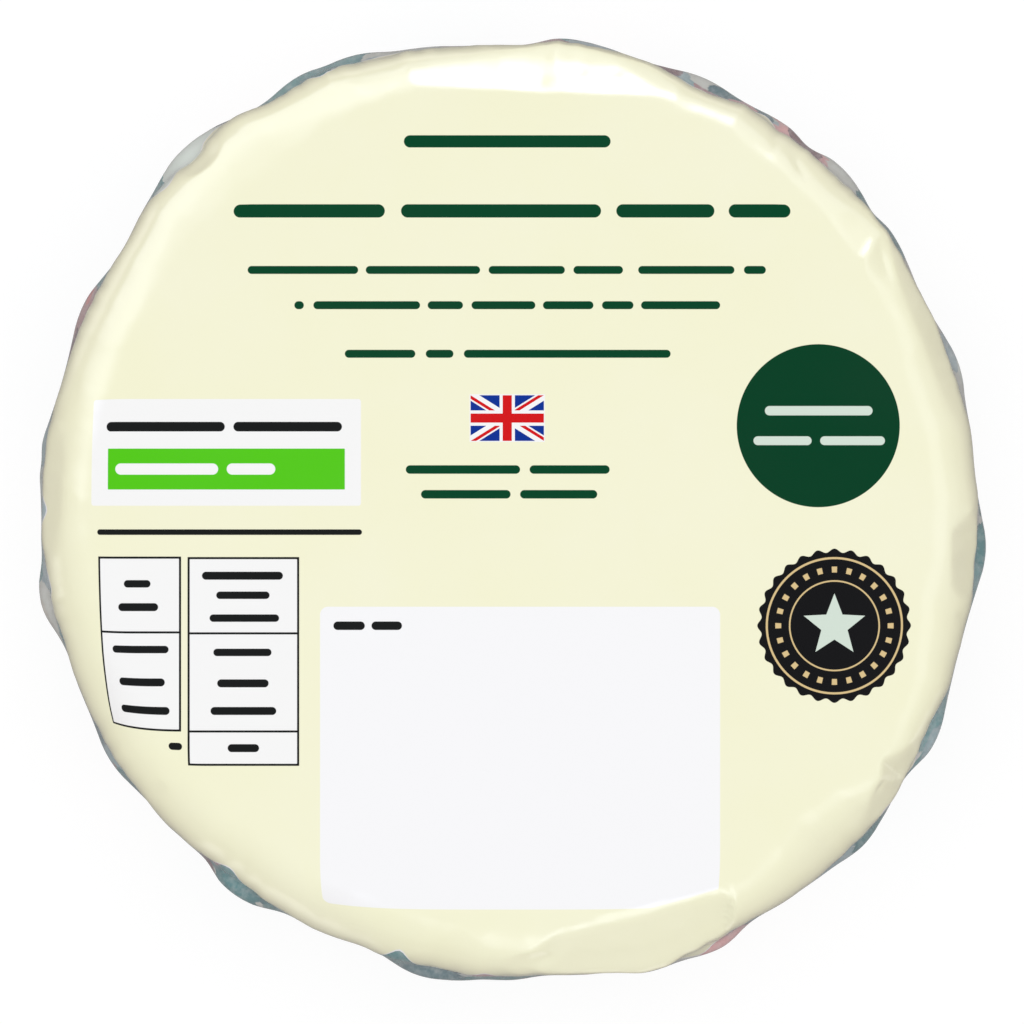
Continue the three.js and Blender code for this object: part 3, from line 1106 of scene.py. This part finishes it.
def outline(tree, place, left, right, bottom, top, line):
    """The mask of an oblong's outline. The sides run along the middle of the line."""
    half = line / 2
    outer = oblong(tree, place, left - half, right + half, bottom - half, top + half)
    inner = oblong(tree, place, left + half, right - half, bottom + half, top - half)
    return calculate(tree, "SUBTRACT", outer, inner)


def either(tree, masks):
    """One mask out of several."""
    joined = masks[0]
    for mask in masks[1:]:
        joined = calculate(tree, "MAXIMUM", joined, mask)
    return joined


print("group:", printed_oblong.name)

# %% [markdown]
# ## Rows of words
# A part that anyone may reuse carries nobody's name, so its words are plain bars. Each bar has its
# word's length and place, and a little over half the height of the small letters, which gives the row
# the same weight of ink as real type has.

# %% Rows of words
BAR_SHARE = 0.56


def words(tree, place, rows):
    """The mask of rows of words: each row is its baseline, its letter height and its words' ends."""
    bars = []
    for baseline, letter_height, spans in rows:
        bottom = baseline + letter_height * (1 - BAR_SHARE) / 2
        top = bottom + letter_height * BAR_SHARE
        bars += [oblong(tree, place, start, end, bottom, top, letter_height) for start, end in spans]
    return either(tree, bars)


print("a row's bar takes", BAR_SHARE, "of the letters' height")

# %% [markdown]
# ## The film's gloss
# Film off a roll isn't a perfect mirror. Its shine wanders a little where it has been stretched or
# heated, it has a very fine orange peel, and over the shoulder it carries hair-thin tension lines that
# run with the pull, down to the crimps. The group gives a roughness and a height for the bump.

# %% Group: the film's gloss
PEEL_SCALE = 900.0
LINES_SCALE = 26.0
LINES_STRETCH = 30.0
LINES_START = (-11, -4)  # past the label's edge, in millimetres
LINES_END = (26, 6)
SHINE_SCALE = 45.0
SHINE_WANDER = 0.07


def film_gloss_group():
    group, given, result = new_group(
        "film_gloss",
        [("Roughness", "Float"), ("Peel", "Float"), ("Tension", "Float")],
        [("Roughness", "Float"), ("Height", "Float")],
    )
    place = place_on_pack(group)
    parts = parts_of(group, place)
    turn = calculate(group, "ARCTAN2", parts["Y"], parts["X"])
    from_axis = calculate(group, "MULTIPLY", calculate_vector(group, "LENGTH", place), LINES_STRETCH)
    round_way = [calculate(group, operation, turn) for operation in ("COSINE", "SINE")]
    pulled = noise(group, vector_of(group, *round_way, from_axis), LINES_SCALE, 3.0)
    beyond = distance_past_label(group)
    ends = [fade(group, beyond, *reach) for reach in (LINES_START, LINES_END)]
    over_shoulder = calculate(group, "MULTIPLY", *ends)
    peel = calculate(group, "MULTIPLY", noise(group, place, PEEL_SCALE), given["Peel"])
    lines = calculate(group, "MULTIPLY", pulled, over_shoulder)
    height = calculate(group, "MULTIPLY_ADD", lines, given["Tension"], peel)
    group.links.new(height, result.inputs["Height"])
    wander = fade(group, noise(group, place, SHINE_SCALE, 3.0), 0.3, 0.7)
    rough = calculate(group, "MULTIPLY_ADD", wander, SHINE_WANDER, given["Roughness"])
    group.links.new(rough, result.inputs["Roughness"])
    return group


film_gloss = film_gloss_group()
print("group:", film_gloss.name)

# %% [markdown]
# ## The cream ground
# The label's cream is printed over a white ground on clear film. Printed cream is never dead even:
# the ink lies a touch thicker here and thinner there, far too little to see as spots, but enough that
# a large field looks printed and not painted.

# %% Group: the cream ground
CREAM = ink(247, 246, 214)
CREAM_THIN = ink(248, 247, 219)
CREAM_SCALE = 60.0


def cream_ground_group():
    group, given, result = new_group(
        "cream_ground",
        [("Cream", "Color"), ("Thin Cream", "Color")],
        [("Color", "Color")],
    )
    thinness = fade(group, noise(group, place_on_pack(group), CREAM_SCALE, 4.0, 0.6), 0.35, 0.75)
    mixed = lay_over(group, given["Cream"], thinness, given["Thin Cream"])
    group.links.new(mixed, result.inputs["Color"])
    return group


cream_ground = cream_ground_group()
print("group:", cream_ground.name)

# %% [markdown]
# ## A film material
# Every material of the pack is the same film with other print, so one function makes the film, asks
# for the print, and wires the two together. The print lies under the film's clear face: it changes
# the colour alone, and the gloss runs on over it.

# %% A film material
FILM_ROUGHNESS = 0.15
FILM_COAT = 0.3
FILM_COAT_ROUGHNESS = 0.06
FILM_PEEL = 0.25
BUMP_STRENGTH = 0.5
BUMP_DEPTH = 0.06


def film_material(name, print_on):
    """A material of glossy film. print_on(tree, place, ground) gives the colour with its print."""
    material = bpy.data.materials.new(name)
    material.use_nodes = True
    tree = material.node_tree
    shader = tree.nodes["Principled BSDF"]
    label_place = tree.nodes.new("ShaderNodeUVMap")
    label_place.uv_map = "label"
    centred = calculate_vector(tree, "SUBTRACT", label_place.outputs["UV"], (0.5, 0.5, 0))
    place = calculate_vector(tree, "MULTIPLY", centred, (MAP_SIDE, MAP_SIDE, 0))
    ground = place_group(tree, cream_ground, Cream=CREAM, Thin_Cream=CREAM_THIN)["Color"]
    tree.links.new(print_on(tree, place, ground), shader.inputs["Base Color"])
    gloss = place_group(tree, film_gloss, Roughness=FILM_ROUGHNESS, Peel=FILM_PEEL, Tension=1.0)
    tree.links.new(gloss["Roughness"], shader.inputs["Roughness"])
    bump = tree.nodes.new("ShaderNodeBump")
    bump.inputs["Strength"].default_value = BUMP_STRENGTH
    bump.inputs["Distance"].default_value = BUMP_DEPTH * MM
    tree.links.new(gloss["Height"], bump.inputs["Height"])
    tree.links.new(bump.outputs["Normal"], shader.inputs["Normal"])
    shader.inputs["Coat Weight"].default_value = FILM_COAT
    shader.inputs["Coat Roughness"].default_value = FILM_COAT_ROUGHNESS
    return material


zones = []


def print_zone(name, left, right, bottom, top, print_on):
    """A part of the label with print of its own, by its sides in millimetres from the label's middle."""
    material = film_material(name, print_on)
    zones.append((left, right, bottom, top, material))
    print("printed:", name, "with", len(material.node_tree.nodes), "nodes")


# %% [markdown]
# ## The headings
# Five centred rows in dark green: a short one with wide letters, the large one, two of small type and
# one of small capitals.

# %% The headings
DARK_GREEN = ink(0, 72, 42)
HEADING_ROWS = [
    # baseline, letter height, start and end of each word
    (37.5, 2.3, [(-11.4, 10.3)]),
    (30.1, 2.5, [(-29.3, -13.4), (-11.7, 9.3), (10.9, 21.2), (22.7, 29.2)]),
    (24.4, 1.5, [(-27.8, -16.2), (-15.4, -3.4), (-2.5, 5.5), (6.4, 11.6), (13.2, 23.3), (24.3, 26.6)]),
    (20.7, 1.5, [(-22.9, -21.9), (-20.9, -9.7), (-8.9, -5.2), (-4.3, 2.4), (3.2, 8.5), (9.4, 12.7),
                 (13.5, 21.8)]),
    (15.6, 1.5, [(-17.6, -10.2), (-9.1, -6.2), (-5.1, 16.6)]),
]


def print_headings(tree, place, ground):
    return lay_over(tree, ground, words(tree, place, HEADING_ROWS), DARK_GREEN)


print_zone("film_headings", -31, 31, 13.8, 41.5, print_headings)

# %% [markdown]
# ## The flag and the rows under it
# The flag is the common one of the country that the pork comes from. Its diagonals and crosses are
# all distances from straight lines. Folding the drawing about its middle makes the two diagonals one,
# and only the narrow red stripe needs to know the quarter that it lies in, to change sides.

# %% The flag
FLAG_SIDES = (-4.4, 3.3, 7.2, 12.0)
FLAG_BORDER = 0.1
WHITE_DIAGONAL, RED_DIAGONAL = 0.1, 0.033  # half-widths as shares of the flag's height
WHITE_CROSS, RED_CROSS = 0.167, 0.1
FLAG_BLUE = ink(4, 50, 152)
FLAG_RED = ink(216, 12, 18)
PRINT_WHITE = ink(249, 249, 250)
ORIGIN_ROWS = [
    (3.4, 1.6, [(-11.2, 0.8), (1.8, 10.2)]),
    (0.8, 1.6, [(-9.6, -0.2), (0.8, 8.9)]),
]


def print_flag(tree, place, ground):
    left, right, bottom, top = FLAG_SIDES
    half_width, half_height = (right - left) / 2, (top - bottom) / 2
    height, diagonal = top - bottom, math.hypot(half_width, half_height)
    middle = ((left + right) / 2, (bottom + top) / 2, 0)
    parts = parts_of(tree, calculate_vector(tree, "SUBTRACT", place, middle))
    across, up = (calculate(tree, "ABSOLUTE", parts[axis]) for axis in "XY")

    def within(distance, share):
        return calculate(tree, "LESS_THAN", distance, height * share)

    rise = calculate(tree, "MULTIPLY", across, half_height / diagonal)
    run = calculate(tree, "MULTIPLY", up, half_width / diagonal)
    off_diagonal = calculate(tree, "SUBTRACT", rise, run)
    quarter = calculate(tree, "SIGN", calculate(tree, "MULTIPLY", parts["X"], parts["Y"]))
    beside = calculate(tree, "MULTIPLY", off_diagonal, calculate(tree, "MULTIPLY", quarter, -1.0))
    off_red = calculate(tree, "ABSOLUTE", calculate(tree, "SUBTRACT", beside, height * RED_DIAGONAL))
    nearer_bar = calculate(tree, "MINIMUM", across, up)
    flag = printed(
        tree, FLAG_BLUE,
        (within(calculate(tree, "ABSOLUTE", off_diagonal), WHITE_DIAGONAL), PRINT_WHITE),
        (within(off_red, RED_DIAGONAL), FLAG_RED),
        (within(nearer_bar, WHITE_CROSS), PRINT_WHITE),
        (within(nearer_bar, RED_CROSS), FLAG_RED),
    )
    border = (left - FLAG_BORDER, right + FLAG_BORDER, bottom - FLAG_BORDER, top + FLAG_BORDER)
    return printed(
        tree, ground,
        (oblong(tree, place, *border), PRINT_WHITE),
        (oblong(tree, place, *FLAG_SIDES), flag),
        (words(tree, place, ORIGIN_ROWS), DARK_GREEN),
    )


print_zone("film_flag", -12.8, 12.4, -0.8, 13.8, print_flag)

# %% [markdown]
# ## The rating panel
# A white panel holds a black row and a bright green strip with a white row on it, and a line of fine
# type runs underneath.

# %% The rating panel
PANEL_WHITE = ink(249, 249, 249)
BRIGHT_GREEN = ink(84, 206, 16)
TYPE_BLACK = ink(28, 30, 30)
PANEL = (-44.4, -15.9, 0.4, 11.6, 0.3)
STRIP = (-42.5, -17.6, 2.1, 6.4)
RATING_ROWS = [(7.8, 1.8, [(-42.7, -30.2), (-29.3, -17.9)])]
STRIP_ROWS = [(3.2, 2.1, [(-41.7, -30.9), (-30.0, -24.9)])]
ADDRESS_ROWS = [(-2.9, 1.05, [(-43.7, -15.8)])]


def print_rating(tree, place, ground):
    return printed(
        tree, ground,
        (oblong(tree, place, *PANEL), PANEL_WHITE),
        (words(tree, place, RATING_ROWS), TYPE_BLACK),
        (oblong(tree, place, *STRIP), BRIGHT_GREEN),
        (words(tree, place, STRIP_ROWS), PRINT_WHITE),
        (words(tree, place, ADDRESS_ROWS), TYPE_BLACK),
    )


print_zone("film_rating", -50, -14.2, -3.9, 12.6, print_rating)

# %% [markdown]
# ## The food table
# Two upright boxes with thin black lines, one a little lower than the other, and short centred rows.
# The boxes are white inside. Both lie against the shoulder, so their outer sides bend with the film.

# %% The food table
TABLE_LINE = 0.23
LEFT_BOX = (-43.5, -34.9, -23.2, -5.05)
RIGHT_BOX = (-34.0, -22.5, -26.8, -5.1)
LEFT_DIVIDER = -12.9
RIGHT_DIVIDERS = (-13.0, -23.3)
TABLE_ROWS = [
    (-8.5, 1.4, [(-40.8, -38.0)]),
    (-11.0, 1.5, [(-41.4, -37.2)]),
    (-15.4, 1.4, [(-42.2, -36.1)]),
    (-18.9, 1.5, [(-41.6, -36.5)]),
    (-21.9, 1.5, [(-41.7, -36.0)]),
    (-7.7, 1.5, [(-32.6, -24.1)]),
    (-9.7, 1.4, [(-31.1, -25.5)]),
    (-12.1, 1.4, [(-31.8, -24.5)]),
    (-15.7, 1.4, [(-31.4, -25.3)]),
    (-19.0, 1.5, [(-31.0, -25.6)]),
    (-21.9, 1.5, [(-31.7, -24.8)]),
    (-25.8, 1.5, [(-29.9, -26.6)]),
    (-25.6, 1.4, [(-36.2, -34.7)]),
]


def print_table(tree, place, ground):
    half = TABLE_LINE / 2
    boxes = (LEFT_BOX, RIGHT_BOX)
    dividers = [(LEFT_BOX, LEFT_DIVIDER)] + [(RIGHT_BOX, divider) for divider in RIGHT_DIVIDERS]
    black = [outline(tree, place, *box, TABLE_LINE) for box in boxes]
    black += [oblong(tree, place, *box[:2], level - half, level + half) for box, level in dividers]
    black.append(words(tree, place, TABLE_ROWS))
    return printed(
        tree, ground,
        (either(tree, [oblong(tree, place, *box) for box in boxes]), PANEL_WHITE),
        (either(tree, black), TYPE_BLACK),
    )


print_zone("film_table", -50, -21.3, -27.9, -3.9, print_table)

# %% [markdown]
# ## The date box
# A large white box with soft corners is left free for the date, with two small words in its corner. Its
# lower right corner is tucked under where the film is folded, so the white ends in a slanting line there.

# %% The date box
DATE_WHITE = ink(250, 250, 252)
DATE_BOX = (-20.2, 21.8, -42.0, -10.2, 0.85)
DATE_ROWS = [(-13.0, 1.6, [(-18.8, -15.5), (-14.8, -11.6)])]
TUCK_FACING = (0.2487, -0.9686, 0)
TUCK_DISTANCE = 44.3
TUCK_EDGE = 0.15


def print_date_box(tree, place, ground):
    along_tuck = calculate_vector(tree, "DOT_PRODUCT", place, TUCK_FACING)
    untucked = fade(tree, along_tuck, TUCK_DISTANCE + TUCK_EDGE, TUCK_DISTANCE - TUCK_EDGE)
    box = calculate(tree, "MULTIPLY", oblong(tree, place, *DATE_BOX), untucked)
    return printed(tree, ground, (box, DATE_WHITE), (words(tree, place, DATE_ROWS), TYPE_BLACK))


print_zone("film_date_box", -21.3, 23, -46, -9, print_date_box)

# %% [markdown]
# ## The offer disc
# A dark green disc with two pale rows. A disc is an oblong whose corner is its whole half-side.

# %% The offer disc
DISC_GREEN = ink(2, 67, 39)
DISC_MIDDLE = (32.1, 8.8)
DISC_RADIUS = 8.56
DISC_ROWS = [(9.5, 1.75, [(26.5, 37.8)]), (6.4, 1.65, [(25.3, 31.4), (32.3, 39.1)])]
PALE_TYPE = ink(214, 228, 216)


def disc(tree, place, middle, radius):
    x, y = middle
    return oblong(tree, place, x - radius, x + radius, y - radius, y + radius, radius)


def print_offer(tree, place, ground):
    face = disc(tree, place, DISC_MIDDLE, DISC_RADIUS)
    return printed(tree, ground, (face, DISC_GREEN), (words(tree, place, DISC_ROWS), PALE_TYPE))


print_zone("film_offer", 22.4, 42, -1, 18.2, print_offer)

# %% [markdown]
# ## The seal
# A plain round seal of the kind that any maker could use: black with a scalloped edge, two fine gilt
# rings with a ring of dots between them, and a star. The scallops and the dots are waves round the
# seal's middle and the star is five folds of one point, so each needs only the direction and the
# distance from that middle.

# %% The seal
SEAL_MIDDLE = (33.8, -12.2)
SEAL_RADIUS = 7.9
SEAL_SCALLOPS = 28
SCALLOP_DEPTH = 0.2
GILT_RINGS = [(7.1, 0.22), (4.7, 0.16)]  # distance from the seal's middle, width
SEAL_DOTS = 24
DOT_RING = (5.9, 0.62)
DOT_EDGE = (0.35, 0.55)
STAR_POINTS = 5
STAR_TIP = 3.4
STAR_NOTCH = 1.45
SEAL_BLACK = ink(24, 24, 26)
GILT = ink(222, 196, 142)


def print_seal(tree, place, ground):
    from_middle = calculate_vector(tree, "SUBTRACT", place, (*SEAL_MIDDLE, 0))
    parts = parts_of(tree, from_middle)
    away = calculate_vector(tree, "LENGTH", from_middle)
    turn = calculate(tree, "ARCTAN2", parts["Y"], parts["X"])
    point_turn = math.pi / STAR_POINTS

    def wave(count):
        return calculate(tree, "COSINE", calculate(tree, "MULTIPLY", turn, float(count)))

    def ring(middle_radius, line):
        off_ring = calculate(tree, "ABSOLUTE", calculate(tree, "SUBTRACT", away, middle_radius))
        return fade(tree, off_ring, line / 2 + INK_EDGE, line / 2 - INK_EDGE)

    def inside(edge):
        return fade(tree, calculate(tree, "SUBTRACT", away, edge), INK_EDGE, -INK_EDGE)

    scalloped = calculate(tree, "MULTIPLY_ADD", wave(SEAL_SCALLOPS), SCALLOP_DEPTH, SEAL_RADIUS)
    dots = calculate(tree, "MULTIPLY", ring(*DOT_RING), fade(tree, wave(SEAL_DOTS), *DOT_EDGE))
    from_top = calculate(tree, "SUBTRACT", turn, math.pi / 2)
    from_tip = calculate(tree, "PINGPONG", from_top, point_turn)
    to_notch = calculate(tree, "SUBTRACT", point_turn, from_tip)
    tip_part = calculate(tree, "MULTIPLY", calculate(tree, "SINE", from_tip), STAR_TIP)
    notch_part = calculate(tree, "MULTIPLY", calculate(tree, "SINE", to_notch), STAR_NOTCH)
    spread = calculate(tree, "ADD", tip_part, notch_part)
    star_edge = calculate(tree, "DIVIDE", STAR_TIP * STAR_NOTCH * math.sin(point_turn), spread)
    return printed(
        tree, ground,
        (inside(scalloped), SEAL_BLACK),
        (either(tree, [*(ring(*size) for size in GILT_RINGS), dots]), GILT),
        (inside(star_edge), PALE_TYPE),
    )


print_zone("film_seal", 24.6, 43.4, -21.4, -3.2, print_seal)

# %% [markdown]
# ## Brush dabs
# Below the cream the film is printed all over with what looks like brushwork. A dab of a loaded brush
# is a longish blot with a rough edge, where the paint dries a little darker, and every dab is of one
# colour. A Voronoi texture scatters points in space, and all that is near one point makes a blot. The
# space is bent by a noise first, which makes the blots rough, and then drawn together along the brush,
# which makes them long. One group makes one coat of dabs: where they lie, a random draw for each, and
# their darker rim.

# %% Group: a coat of dabs
DAB_LENGTH_SHARE = 0.42
DAB_TURN = (0.5, 0.35, 0.2)
DAB_BEND = 5
DAB_BEND_SCALE = 0.22
DAB_EDGE = (0, 0.02)
DAB_RIM = (0.09, 0.02)


def along_brush(tree, place, length_share):
    """Space turned to the way that the brush ran and drawn together along it, so blots come out long."""
    stretch = tree.nodes.new("ShaderNodeMapping")
    connect(tree, place, stretch.inputs["Vector"])
    stretch.inputs["Rotation"].default_value = DAB_TURN
    stretch.inputs["Scale"].default_value = (1, 1, length_share)
    return stretch.outputs["Vector"]


def dabs_group():
    group, given, result = new_group(
        "brush_dabs",
        [("Place", "Vector"), ("Size", "Float"), ("Reach", "Float")],
        [("Mask", "Float"), ("Draw", "Float"), ("Rim", "Float")],
    )
    bend = noise(group, given["Place"], DAB_BEND_SCALE, 3.0, gives="Color")
    bend = calculate_vector(group, "SUBTRACT", bend, (0.5, 0.5, 0.5))
    bend = calculate_vector(group, "MULTIPLY", bend, (DAB_BEND, DAB_BEND, DAB_BEND))
    bent = calculate_vector(group, "ADD", given["Place"], bend)
    size = vector_of(group, *[given["Size"]] * 3)
    cells = group.nodes.new("ShaderNodeTexVoronoi")
    cells.inputs["Scale"].default_value = 1.0
    brushed = along_brush(group, bent, DAB_LENGTH_SHARE)
    group.links.new(calculate_vector(group, "DIVIDE", brushed, size), cells.inputs["Vector"])
    inside = calculate(group, "SUBTRACT", given["Reach"], cells.outputs["Distance"])
    draws = group.nodes.new("ShaderNodeSeparateColor")
    group.links.new(cells.outputs["Color"], draws.inputs["Color"])
    group.links.new(fade(group, inside, *DAB_EDGE), result.inputs["Mask"])
    group.links.new(draws.outputs["Red"], result.inputs["Draw"])
    group.links.new(fade(group, inside, *DAB_RIM), result.inputs["Rim"])
    return group


brush_dabs = dabs_group()
print("group:", brush_dabs.name)

# %% [markdown]
# ## The side's print
# Three coats of dabs lie over each other on a pale blue-grey: broad ones of teal and blue-grey, then
# pink and mauve ones, and a few small dark ones. Fine streaks of a stretched noise run through all of
# them, as the hairs of a brush leave. The pattern is worked out in space, so it has no join round the
# side or under the base, and it is nobody's picture.

# %% Group: the side's print
SIDE_GROUND = ink(206, 209, 204)
COATS = [
    # size of a dab, reach of its blot, offset in space, inks
    (10.5, 0.62, (0, 0, 0), [
        (126, 170, 172), (176, 194, 200), (122, 164, 168), (226, 236, 230), (108, 136, 144),
    ]),
    (8.8, 0.46, (31, 57, 13), [
        (196, 162, 164), (238, 186, 186), (222, 220, 212), (166, 190, 196), (100, 144, 148),
    ]),
    (6.4, 0.36, (83, 19, 41), [
        (146, 112, 118), (232, 154, 152), (86, 78, 88), (240, 240, 234), (96, 146, 150),
    ]),
]
RIM_INK = ink(70, 76, 92)
RIM_DARKENING = 0.22
STREAK_INK = ink(232, 236, 236)
STREAK_STRENGTH = 0.3
STREAK_LENGTH_SHARE = 0.12
STREAK_SCALE = 1.3


def drawn_ink(tree, draw, inks):
    """One of the inks, by a random draw from 0 to 1."""
    ramp = tree.nodes.new("ShaderNodeValToRGB")
    ramp.color_ramp.interpolation = "CONSTANT"
    stops = ramp.color_ramp.elements
    while len(stops) < len(inks):
        stops.new(1.0)
    for i, mixed in enumerate(inks):
        stops[i].position = i / len(inks)
        stops[i].color = ink(*mixed)
    connect(tree, draw, ramp.inputs["Fac"])
    return ramp.outputs["Color"]


def side_print_group():
    group, given, result = new_group(
        "side_print",
        [("Ground", "Color"), ("Dab Size", "Float")],
        [("Color", "Color")],
    )
    place = calculate_vector(group, "MULTIPLY", place_on_pack(group), (1 / MM, 1 / MM, 1 / MM))
    hairs = noise(group, along_brush(group, place, STREAK_LENGTH_SHARE), STREAK_SCALE, 3.0, 0.6)
    colour = given["Ground"]
    for size, reach, offset, inks in COATS:
        moved = calculate_vector(group, "ADD", place, offset)
        dab_size = calculate(group, "MULTIPLY", given["Dab Size"], size)
        dabs = place_group(group, brush_dabs, Place=moved, Size=dab_size, Reach=reach)
        rim = calculate(group, "MULTIPLY", dabs["Rim"], RIM_DARKENING)
        dab = lay_over(group, drawn_ink(group, dabs["Draw"], inks), rim, RIM_INK)
        colour = lay_over(group, colour, dabs["Mask"], dab)
    streaks = calculate(group, "MULTIPLY", fade(group, hairs, 0.42, 0.75), STREAK_STRENGTH)
    group.links.new(lay_over(group, colour, streaks, STREAK_INK), result.inputs["Color"])
    return group


side_print = side_print_group()
print("group:", side_print.name, "with coats:", len(COATS))

# %% [markdown]
# ## The rest of the film
# Everything outside the printed zones is one material: cream up to the label's edge, a hair of the
# white ground that shows along that edge where two inks don't quite meet, and the side's print beyond.

# %% The rest of the film
GROUND_LINE = 0.3


def print_sides(tree, place, ground):
    beyond = distance_past_label(tree)
    white = fade(tree, beyond, -GROUND_LINE - INK_EDGE, -GROUND_LINE + INK_EDGE)
    dabs = place_group(tree, side_print, Ground=SIDE_GROUND, Dab_Size=1.0)["Color"]
    return printed(tree, ground, (white, PRINT_WHITE), (fade(tree, beyond, -INK_EDGE, INK_EDGE), dabs))


film_mesh.materials.append(film_material("film_sides", print_sides))
for *_, material in zones:
    film_mesh.materials.append(material)

face_x = np.concatenate([label_x.ravel()[quads].mean(axis=1), np.zeros(2 * SEGMENTS)])
face_y = np.concatenate([label_y.ravel()[quads].mean(axis=1), np.zeros(2 * SEGMENTS)])
first_rings = np.concatenate([corner_rings[:, 0], np.full(SEGMENTS, 0), np.full(SEGMENTS, rings)])
face_slots = np.zeros(len(film_mesh.polygons), int)
for slot, (left, right, bottom, top, material) in enumerate(zones, start=1):
    inside = (face_x > left) & (face_x < right) & (face_y > bottom) & (face_y < top)
    face_slots[inside & (first_rings < rim_ring)] = slot
film_mesh.polygons.foreach_set("material_index", face_slots)
film_mesh.update()
print("faces in each zone:", np.bincount(face_slots).tolist())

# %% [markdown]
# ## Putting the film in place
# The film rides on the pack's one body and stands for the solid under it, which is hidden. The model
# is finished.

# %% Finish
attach(film, "root")
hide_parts("wrapped_pie")
